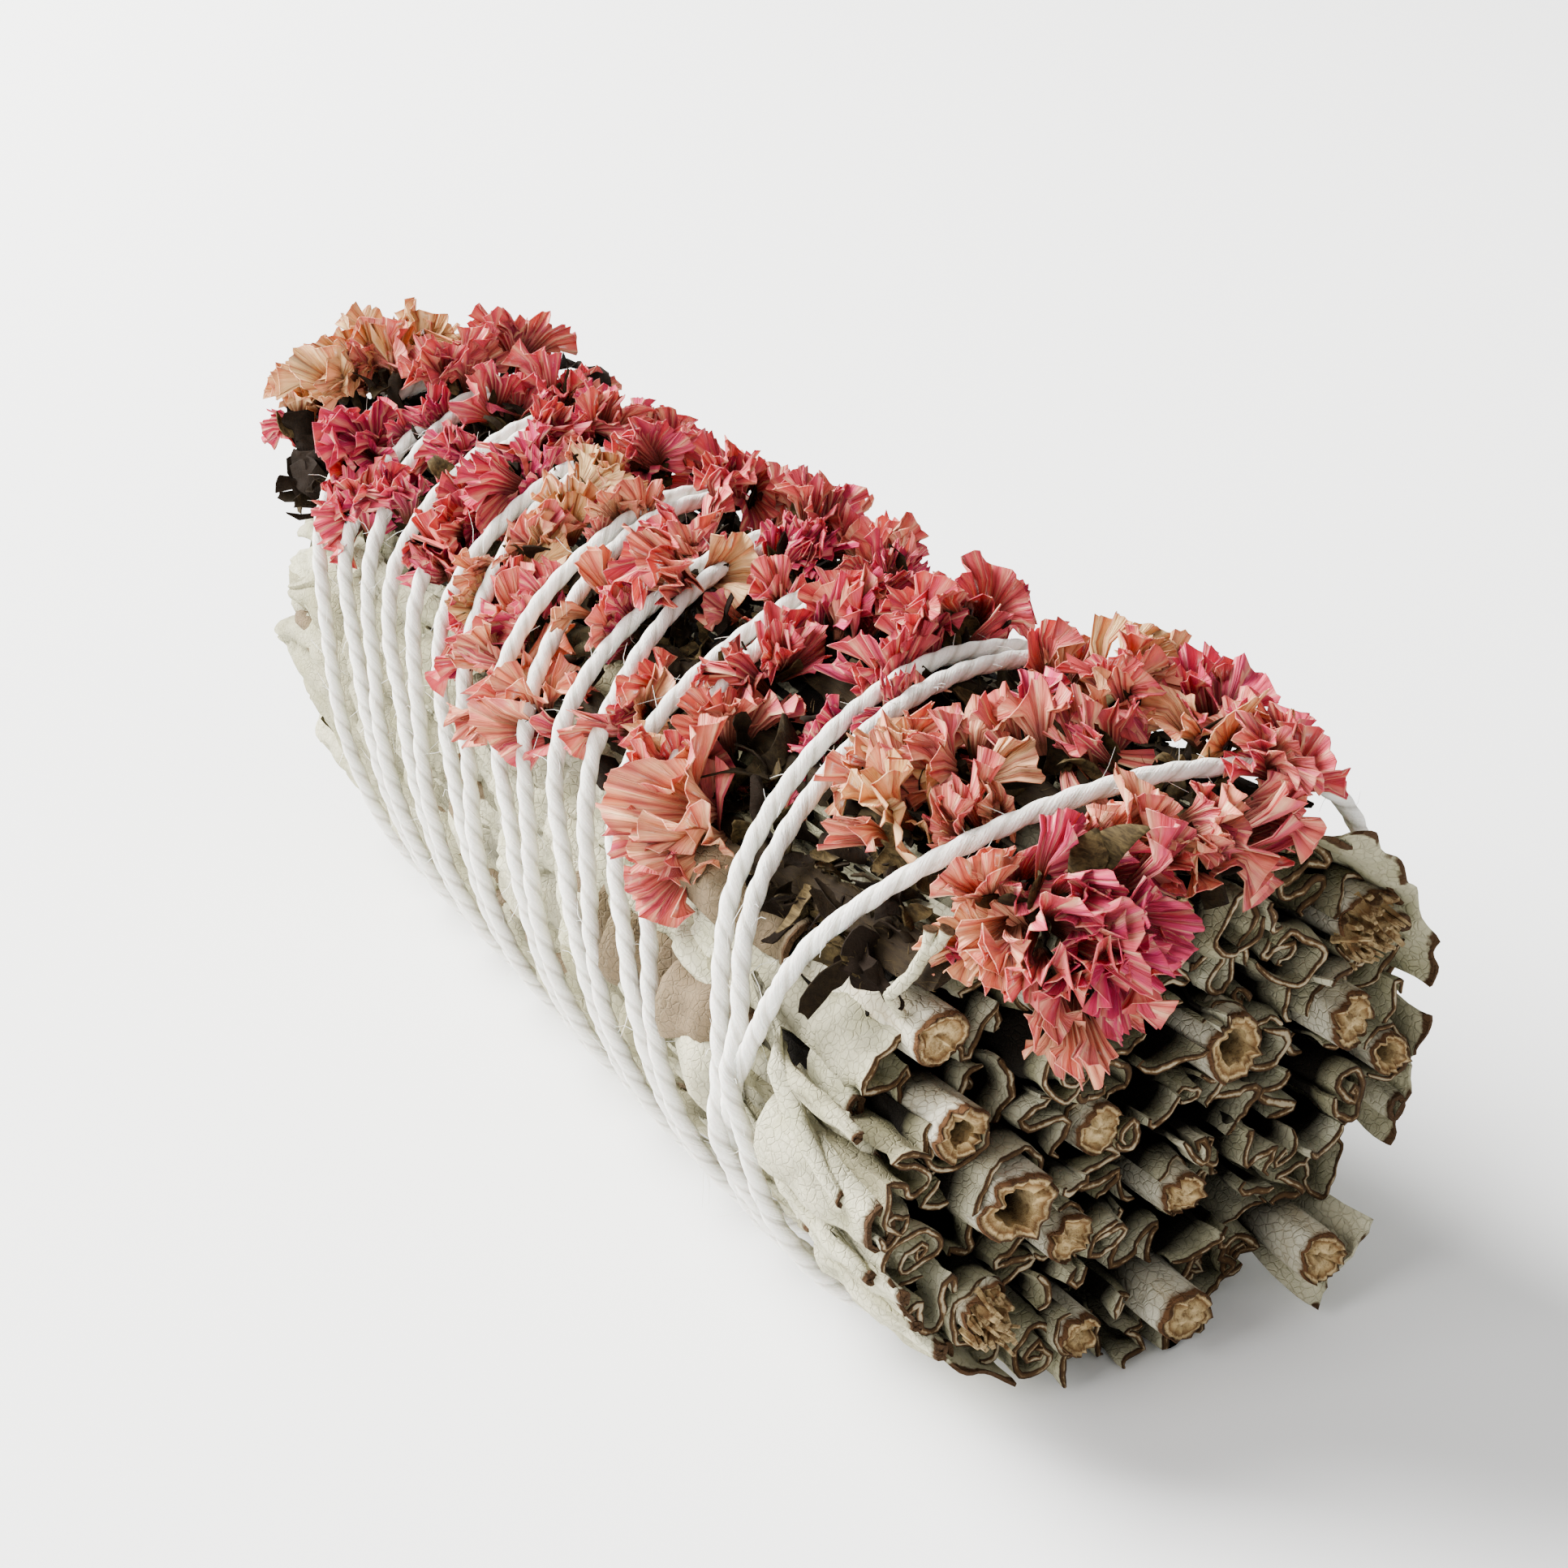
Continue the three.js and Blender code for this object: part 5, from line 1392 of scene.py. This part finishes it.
def addNodding(bags, rng):
    for u, y, z, direction, size, hue, span in noddingHead:
        bag = bags[2 if y > -4 else 1]
        root, direction = np.array((cutX - u, y, z)), unit(direction)
        addCalyx(bag, rng, root, direction, hue, size, None, span)
        addBract(bag, rng, root - direction, direction, 2.4, 0.7, tone=rng.random())
    for x, y, z in oliveBracts:
        addBract(bags[1], rng, (cutX + x, y, z), unit((0.5, -0.1, 0.9)), 3.4, 1.1, 0.9)
    for k, y, z in stalks:
        path = [(cutX - 3, y * 0.9, z + 0.4), (cutX, y, z + 0.6), (cutX + 1.4, y, z),
                (cutX + 2.8, y, z - 2.4)]
        tube(bags[k], evenly(np.array(path), 0.4), 0.75, 8, twigLook, tone=0.4)


def buildSprays():
    bags = [newBag() for _ in sprays]
    rng = np.random.default_rng(71)
    for k, bag in enumerate(bags):
        addWingedStem(bag, rng, k)
    for head in heads:
        addHead(bags[sprayOf(head[1])], rng, *head)
    addNodding(bags, rng)
    addScraps(bags, rng)
    addTipLeaves(bags, rng)
    for head in tipHeads:
        addHead(bags[sprayOf(head[1])], rng, *head)
    return bags


# Materials

def newMaterial(name, roughness, **uniform):
    material = bpy.data.materials.new(name)
    material.use_nodes = True
    shader = material.node_tree.nodes["Principled BSDF"]
    shader.inputs["Roughness"].default_value = roughness
    for socket, value in uniform.items():
        shader.inputs[socket.replace("_", " ")].default_value = value
    return material, material.node_tree, shader


def setSocket(tree, socket, value):
    if isinstance(value, bpy.types.NodeSocket):
        tree.links.new(value, socket)
    else:
        socket.default_value = value


def addNode(tree, kind, inputs=None, **settings):
    made = tree.nodes.new(kind)
    for key, value in settings.items():
        setattr(made, key, value)
    for key, value in (inputs or {}).items():
        setSocket(tree, made.inputs[key], value)
    return made


def readNumber(tree, name):
    return addNode(tree, "ShaderNodeAttribute", attribute_name=name).outputs["Fac"]


def arithmetic(tree, operation, a, b=0.0, c=0.0):
    return addNode(tree, "ShaderNodeMath", {0: a, 1: b, 2: c}, operation=operation).outputs[0]


def mixColours(tree, factor, a, b, blend="MIX"):
    made = addNode(tree, "ShaderNodeMix", data_type="RGBA", blend_type=blend)
    sockets = {socket.identifier: socket for socket in made.inputs}
    for key, value in (("Factor_Float", factor), ("A_Color", a), ("B_Color", b)):
        setSocket(tree, sockets[key], (*value, 1) if isinstance(value, tuple) else value)
    return next(socket for socket in made.outputs if socket.identifier == "Result_Color")


def ramp(tree, value, stops):
    made = addNode(tree, "ShaderNodeValToRGB", {"Fac": value})
    elements = made.color_ramp.elements
    while len(elements) < len(stops):
        elements.new(0.5)
    for element, (at, colour) in zip(elements, stops):
        element.position = at
        element.color = (*colour, 1)
    return made.outputs["Color"]


def fade(tree, value, *stops):  # where it begins and ends, each with its grey
    return ramp(tree, value, [(at, (grey,) * 3) for at, grey in stops])


def objectPoint(tree):
    return addNode(tree, "ShaderNodeTexCoord").outputs["Object"]


def noiseAt(tree, point, scale, detail=4.0, roughness=0.55, distortion=0.0):
    inputs = {"Vector": point, "Scale": scale, "Detail": detail, "Roughness": roughness,
              "Distortion": distortion}
    return addNode(tree, "ShaderNodeTexNoise", inputs).outputs["Fac"]


# A bump from the height, under the colour that all the layers come to
def finish(tree, shader, base, height, strength, distance):
    tree.links.new(base, shader.inputs["Base Color"])
    made = addNode(tree, "ShaderNodeBump", {"Height": height, "Strength": strength, "Distance": distance})
    tree.links.new(made.outputs["Normal"], shader.inputs["Normal"])


# Effects that several materials share, each with its own values

def newGroup(name, inputs, outputs):
    group = bpy.data.node_groups.new(name, "ShaderNodeTree")
    kind = "NodeSocketFloat"
    for key, value in inputs.items():
        group.interface.new_socket(name=key, in_out="INPUT", socket_type=kind).default_value = value
    for key in outputs:
        group.interface.new_socket(name=key, in_out="OUTPUT", socket_type=kind)
    return group, group.nodes.new("NodeGroupInput").outputs, group.nodes.new("NodeGroupOutput").inputs


def scaled(group, point, scale):
    made = addNode(group, "ShaderNodeVectorMath", {0: point}, operation="SCALE")
    group.links.new(scale, made.inputs["Scale"])
    return made.outputs[0]


felted = {"wobbleScale": 900.0, "wobble": (0.0006, 0.0006, 0.0006), "cracks": 1700.0, "nap": 5200.0,
          "mottle": 260.0}


# A matted nap with fine crazed lines, as dry sage leaves and their bark have
def feltGroup():
    group, given, out = newGroup("feltNap", {"Scale": 1.0, "Crazing": 0.5}, ("Lines", "Height", "Mottle"))
    place = scaled(group, objectPoint(group), given["Scale"])
    wobble = addNode(group, "ShaderNodeTexNoise",
                     {"Vector": place, "Scale": felted["wobbleScale"], "Detail": 2.0})
    bent = addNode(group, "ShaderNodeVectorMath", {0: wobble.outputs["Color"], 1: felted["wobble"], 2: place},
                   operation="MULTIPLY_ADD").outputs[0]
    cracks = addNode(group, "ShaderNodeTexVoronoi", {"Vector": bent, "Scale": felted["cracks"]},
                     feature="DISTANCE_TO_EDGE").outputs["Distance"]
    lines = arithmetic(group, "MULTIPLY", fade(group, cracks, (0.0, 1), (0.09, 0)), given["Crazing"])
    nap = noiseAt(group, place, felted["nap"], 3.0, 0.6)
    mottle = noiseAt(group, place, felted["mottle"], 5.0, 0.6)
    height = arithmetic(group, "MULTIPLY_ADD", nap, 0.35, arithmetic(group, "MULTIPLY", mottle, 0.8))
    height = arithmetic(group, "SUBTRACT", height, arithmetic(group, "MULTIPLY", lines, 0.45))
    for name, value in (("Lines", lines), ("Height", height), ("Mottle", mottle)):
        group.links.new(value, out[name])
    return group


# Fine streaks that run along the bundle
def fibreGroup():
    group, given, out = newGroup("dryFibres", {"Across": 1.0}, ("Streaks", "Height"))
    stretch = addNode(group, "ShaderNodeMapping", {"Vector": objectPoint(group), "Scale": (0.16, 1.0, 1.0)})
    streaks = noiseAt(group, scaled(group, stretch.outputs[0], given["Across"]), 2600.0, 5.0, 0.7, 0.4)
    for name in ("Streaks", "Height"):
        group.links.new(streaks, out[name])
    return group


groups = {"felt": feltGroup(), "fibres": fibreGroup()}


def useGroup(tree, name, **inputs):
    made = addNode(tree, "ShaderNodeGroup", node_tree=groups[name])
    for key, value in inputs.items():
        made.inputs[key].default_value = value
    return made.outputs


# Painted shade: the near-black colour that stands in for the shade between packed leaves and stems, in
# creases and under the flowers
deepShade = (0.004, 0.0028, 0.0016)  # between packed leaves
feltColours = {
    "leaves": [(0.0, (0.205, 0.187, 0.11)), (0.25, (0.325, 0.305, 0.20)), (0.6, (0.445, 0.42, 0.295)),
               (0.88, (0.53, 0.51, 0.37)), (0.94, (0.165, 0.12, 0.072)), (1.0, (0.13, 0.094, 0.056))],
    "patches": [(0.3, (0.74, 0.75, 0.64)), (0.55, (1, 1, 1)), (0.75, (1.06, 1.04, 1.0))],
    "lines": (0.22, 0.19, 0.13),
    "torn": (0.05, 0.026, 0.012),
}


def sageFelt():
    material, tree, shader = newMaterial("sageFelt", 0.95, Specular_IOR_Level=0.1)
    felt = useGroup(tree, "felt", Scale=1.0, Crazing=0.8)
    tone, edge, shade = (readNumber(tree, name) for name in ("tone", "edge", "way"))
    base = ramp(tree, tone, feltColours["leaves"])
    base = mixColours(tree, 1.0, base, ramp(tree, felt["Mottle"], feltColours["patches"]), "MULTIPLY")
    base = mixColours(tree, arithmetic(tree, "MULTIPLY", felt["Lines"], 0.2), base, feltColours["lines"])
    torn = noiseAt(tree, objectPoint(tree), 1500.0, 3.0)
    brown = arithmetic(tree, "MULTIPLY_ADD", torn, 0.9, arithmetic(tree, "SUBTRACT", edge, 0.85))
    base = mixColours(tree, fade(tree, brown, (0.0, 0), (0.35, 1)), base, feltColours["torn"])
    # painted shade, by the way number
    base = mixColours(tree, shade, base, deepShade)
    finish(tree, shader, base, felt["Height"], 0.6, 0.0005)
    return material


barkColours = {
    "bark": [(0.3, (0.36, 0.31, 0.20)), (0.5, (0.49, 0.46, 0.35)), (0.7, (0.56, 0.53, 0.42))],
    "lines": (0.26, 0.20, 0.12),
    "streaks": (0.34, 0.25, 0.13),
    "cut": (0.09, 0.042, 0.018),
}


def sageBark():
    material, tree, shader = newMaterial("sageBark", 0.92, Specular_IOR_Level=0.12)
    felt = useGroup(tree, "felt", Scale=0.9, Crazing=1.0)
    fibres = useGroup(tree, "fibres", Across=0.5)
    edge = readNumber(tree, "edge")
    base = ramp(tree, felt["Mottle"], barkColours["bark"])
    base = mixColours(tree, arithmetic(tree, "MULTIPLY", felt["Lines"], 0.25), base, barkColours["lines"])
    streaks = fade(tree, fibres["Streaks"], (0.55, 0), (0.72, 0.5))
    base = mixColours(tree, streaks, base, barkColours["streaks"])
    brown = arithmetic(tree, "MULTIPLY_ADD", fibres["Streaks"], 0.8, arithmetic(tree, "SUBTRACT", edge, 0.75))
    base = mixColours(tree, fade(tree, brown, (0.0, 0), (0.4, 1)), base, barkColours["cut"])
    # painted shade on the bark, by the way number
    base = mixColours(tree, readNumber(tree, "way"), base, deepShade)
    finish(tree, shader, base, felt["Height"], 0.6, 0.0005)
    return material


pithColours = {
    "rings": [(0.0, (0.38, 0.26, 0.12)), (0.3, (0.66, 0.49, 0.25)), (0.6, (0.50, 0.35, 0.16)),
              (0.76, (0.17, 0.085, 0.03)), (0.86, (0.60, 0.44, 0.22)), (0.95, (0.05, 0.024, 0.01))],
    "grain": (0.10, 0.046, 0.016),
    # painted shade, near black deeper into a hollow or broken end
    "depthShade": (0.012, 0.007, 0.004),
}


def sagePith():
    material, tree, shader = newMaterial("sagePith", 0.85, Specular_IOR_Level=0.15)
    way, depth = readNumber(tree, "way"), readNumber(tree, "edge")
    grain = noiseAt(tree, objectPoint(tree), 1900.0, 6.0, 0.75)
    ringed = arithmetic(tree, "MULTIPLY_ADD", grain, 0.3, arithmetic(tree, "SUBTRACT", way, 0.15))
    base = ramp(tree, ringed, pithColours["rings"])
    base = mixColours(tree, fade(tree, grain, (0.36, 0.8), (0.54, 0)), base, pithColours["grain"])
    # painted shade deeper into the end
    base = mixColours(tree, fade(tree, depth, (0.05, 0), (0.6, 1)), base, pithColours["depthShade"])
    finish(tree, shader, base, grain, 0.8, 0.0004)
    return material


edgeColours = [(0.0, (0.30, 0.25, 0.165)), (0.1, (0.17, 0.115, 0.06)), (0.22, (0.06, 0.032, 0.013)),
               (0.9, (0.016, 0.008, 0.004))]


def cutEdge():
    material, tree, shader = newMaterial("cutLeafEdge", 0.9, Specular_IOR_Level=0.1)
    edge = readNumber(tree, "edge")
    grain = noiseAt(tree, objectPoint(tree), 1700.0, 4.0, 0.7)
    patches = noiseAt(tree, objectPoint(tree), 420.0, 2.0)
    value = arithmetic(tree, "MULTIPLY_ADD", grain, 0.9, arithmetic(tree, "SUBTRACT", edge, 1.0))
    value = arithmetic(tree, "MULTIPLY_ADD", patches, 1.2, value)
    finish(tree, shader, ramp(tree, value, edgeColours), grain, 0.5, 0.0003)
    return material


petalColours = {
    "hues": [(0.0, (0.40, 0.18, 0.05)), (0.2, (0.76, 0.49, 0.21)), (0.4, (0.72, 0.27, 0.15)),
             (0.6, (0.62, 0.11, 0.095)), (0.8, (0.54, 0.045, 0.095)), (1.0, (0.46, 0.014, 0.085))],
    "magenta": (0.40, 0.025, 0.12),
    # cream ribs along the pleat ridges, lightened further as a painted highlight
    "creamRidgeHighlight": (0.92, 0.62, 0.36),
    # fold: painted shade in the valleys of the pleats
    "fold": (0.20, 0.014, 0.02),
    # painted shade towards the base of each calyx, down in the head
    "throatShade": (0.085, 0.02, 0.008),
    "rim": (0.30, 0.03, 0.03),
    "light": (1.0, 0.35, 0.3),  # how far each colour of light goes through
}


def paperCalyx():
    material, tree, shader = newMaterial("paperCalyx", 0.75, Specular_IOR_Level=0.15, Subsurface_Weight=0.12,
                                         Subsurface_Scale=0.0006, Subsurface_Radius=petalColours["light"])
    tone, pleat, way, turn = (readNumber(tree, name) for name in ("tone", "edge", "way", "turn"))
    petal = ramp(tree, tone, petalColours["hues"])
    around, apart = arithmetic(tree, "MULTIPLY", turn, 11.0), arithmetic(tree, "MULTIPLY", tone, 37.0)
    lengthwise = addNode(tree, "ShaderNodeCombineXYZ", {"X": around, "Y": way, "Z": apart})
    veins = noiseAt(tree, lengthwise.outputs[0], 1.0, 3.0, 0.6)
    blotch = noiseAt(tree, objectPoint(tree), 420.0, 3.0, 0.5)
    magenta = arithmetic(tree, "MULTIPLY", fade(tree, blotch, (0.42, 0.1), (0.6, 0.85)),
                         fade(tree, veins, (0.35, 0.9), (0.65, 0.15)))
    magenta = arithmetic(tree, "MULTIPLY", magenta, fade(tree, tone, (0.1, 0.15), (0.5, 1)))
    petal = mixColours(tree, magenta, petal, petalColours["magenta"])
    # cream ribs on the ridges, with a painted highlight
    creamRidgeHighlight = arithmetic(tree, "MULTIPLY", fade(tree, pleat, (0.5, 0), (1.0, 0.85)),
                       fade(tree, veins, (0.4, 0.2), (0.6, 1)))
    petal = mixColours(tree, creamRidgeHighlight, petal, petalColours["creamRidgeHighlight"])
    # painted shade in the valleys of the pleats
    petal = mixColours(tree, fade(tree, pleat, (0.0, 0.75), (0.4, 0)), petal, petalColours["fold"])
    # painted shade towards the base of the calyx
    petal = mixColours(tree, fade(tree, way, (0.15, 1), (0.7, 0)), petal, petalColours["throatShade"])
    petal = mixColours(tree, fade(tree, way, (0.92, 0), (1.0, 0.35)), petal, petalColours["rim"])
    finish(tree, shader, petal, veins, 0.9, 0.0005)
    return material


twigColours = {
    "twigs": [(0.0, (0.008, 0.004, 0.002)), (0.4, (0.02, 0.013, 0.005)), (0.75, (0.055, 0.039, 0.014)),
              (1.0, (0.13, 0.09, 0.038))],
    "streaks": (0.007, 0.004, 0.002),
}


def darkTwig():
    material, tree, shader = newMaterial("darkTwig", 0.9, Specular_IOR_Level=0.1)
    fibres = useGroup(tree, "fibres", Across=0.8)
    base = ramp(tree, readNumber(tree, "tone"), twigColours["twigs"])
    streaks = fade(tree, fibres["Streaks"], (0.4, 0.8), (0.65, 0))
    base = mixColours(tree, streaks, base, twigColours["streaks"])
    finish(tree, shader, base, fibres["Height"], 0.6, 0.0003)
    return material


# groove: painted shade in the grooves between the plies
cottonColours = {"cotton": (0.84, 0.825, 0.77), "groove": (0.28, 0.245, 0.185), "between": (0.44, 0.41, 0.34)}


def cottonTwist():
    material, tree, shader = newMaterial("cottonTwist", 0.95, Specular_IOR_Level=0.1,
                                         Subsurface_Weight=0.1, Subsurface_Scale=0.0004)
    sine, cosine, way = (readNumber(tree, name) for name in ("tone", "turn", "way"))
    lengthwise = arithmetic(tree, "MULTIPLY", way, 0.5)
    fibrePoint = addNode(tree, "ShaderNodeCombineXYZ", {"X": sine, "Y": cosine, "Z": lengthwise})
    fibres = noiseAt(tree, fibrePoint.outputs[0], 4.0, 2.0, 0.5)
    lint = noiseAt(tree, objectPoint(tree), 3000.0, 4.0, 0.65)
    # painted shade in the grooves between the plies
    groove = fade(tree, arithmetic(tree, "ABSOLUTE", cosine), (0.0, 0.6), (0.5, 0))
    base = mixColours(tree, groove, cottonColours["cotton"], cottonColours["groove"])
    base = mixColours(tree, fade(tree, fibres, (0.35, 0.22), (0.6, 0)), base, cottonColours["between"])
    height = arithmetic(tree, "MULTIPLY_ADD", fibres, 1.2, arithmetic(tree, "MULTIPLY", lint, 0.7))
    finish(tree, shader, base, height, 0.45, 0.0002)
    return material


# Stage, light and camera

stage = {"half": 3.0, "below": 0.0001, "colour": (0.88, 0.885, 0.88, 1)}


def addStage():
    mesh = bpy.data.meshes.new("floor")
    corners = [(x * stage["half"], y * stage["half"], 0) for x, y in ((-1, -1), (1, -1), (1, 1), (-1, 1))]
    mesh.from_pydata(corners, [], [(0, 1, 2, 3)])
    floor = addObject("floor", mesh)
    floor.location.z = -stage["below"]
    material, _, shader = newMaterial("paleFloor", 0.9)
    shader.inputs["Base Color"].default_value = stage["colour"]
    mesh.materials.append(material)


view = {"azimuth": 57.0, "elevation": 24.5, "distance": 0.196, "target": (0.0073, 0.0, 0.0234),
        "focalPixels": 3400, "framePixels": 1932, "sensor": 36.0, "clip": (0.01, 20)}
world = {"colour": (1.0, 1.0, 1.0, 1), "strength": 0.72}
lamps = [  # name, direction it comes from, distance, size, watts, colour
    ("key", (-0.83, -0.53, 0.75), 1.5, 0.9, 150.0, (1.0, 0.99, 0.97)),
    ("side", (0.0, -0.95, 0.5), 1.5, 0.8, 24.0, (1.0, 0.99, 0.97))]


def aim(thing, target):
    direction = Vector(target) - thing.location
    thing.rotation_euler = direction.to_track_quat("-Z", "Y").to_euler()


def addLights():
    for name, direction, distance, size, watts, tint in lamps:
        data = bpy.data.lights.new(name, "AREA")
        data.energy, data.size, data.color = watts, size, tint
        lamp = addObject(name, data)
        lamp.location = Vector(view["target"]) + Vector(direction).normalized() * distance
        aim(lamp, view["target"])
    studio = bpy.data.worlds.new("studio")
    studio.use_nodes = True
    background = studio.node_tree.nodes["Background"]
    background.inputs["Color"].default_value = world["colour"]
    background.inputs["Strength"].default_value = world["strength"]
    bpy.context.scene.world = studio


def addCamera():
    data = bpy.data.cameras.new("camera")
    data.sensor_width = view["sensor"]
    data.lens = view["focalPixels"] / view["framePixels"] * view["sensor"]
    data.clip_start, data.clip_end = view["clip"]
    camera = addObject("camera", data)
    az, el = math.radians(view["azimuth"]), math.radians(view["elevation"])
    back = Vector((math.sin(az) * math.cos(el), -math.cos(az) * math.cos(el), math.sin(el)))
    camera.location = Vector(view["target"]) + back * view["distance"]
    aim(camera, view["target"])
    bpy.context.scene.camera = camera


sageLooks = [sageFelt(), sageBark(), sagePith(), cutEdge()]
flowerLooks = [paperCalyx(), darkTwig()]
cotton = cottonTwist()
print("materials made:", len(bpy.data.materials))
makePiece("wound_string", buildString(), [cotton], ["cotton_string"], sharp=80)
makePiece("string_fuzz", buildFuzz(), [cotton])
for k, bag in enumerate(buildSprigs(), 1):
    makePiece(f"sprig_{k:02d}", bag, sageLooks, [f"sage_sprig_{k:02d}"])
for k, bag in enumerate(buildSprays(), 1):
    makePiece(f"spray_{k:02d}", bag, flowerLooks, [f"statice_spray_{k:02d}"], sharp=60)
addStage()
addLights()
addCamera()
print("stage, lights and camera set")
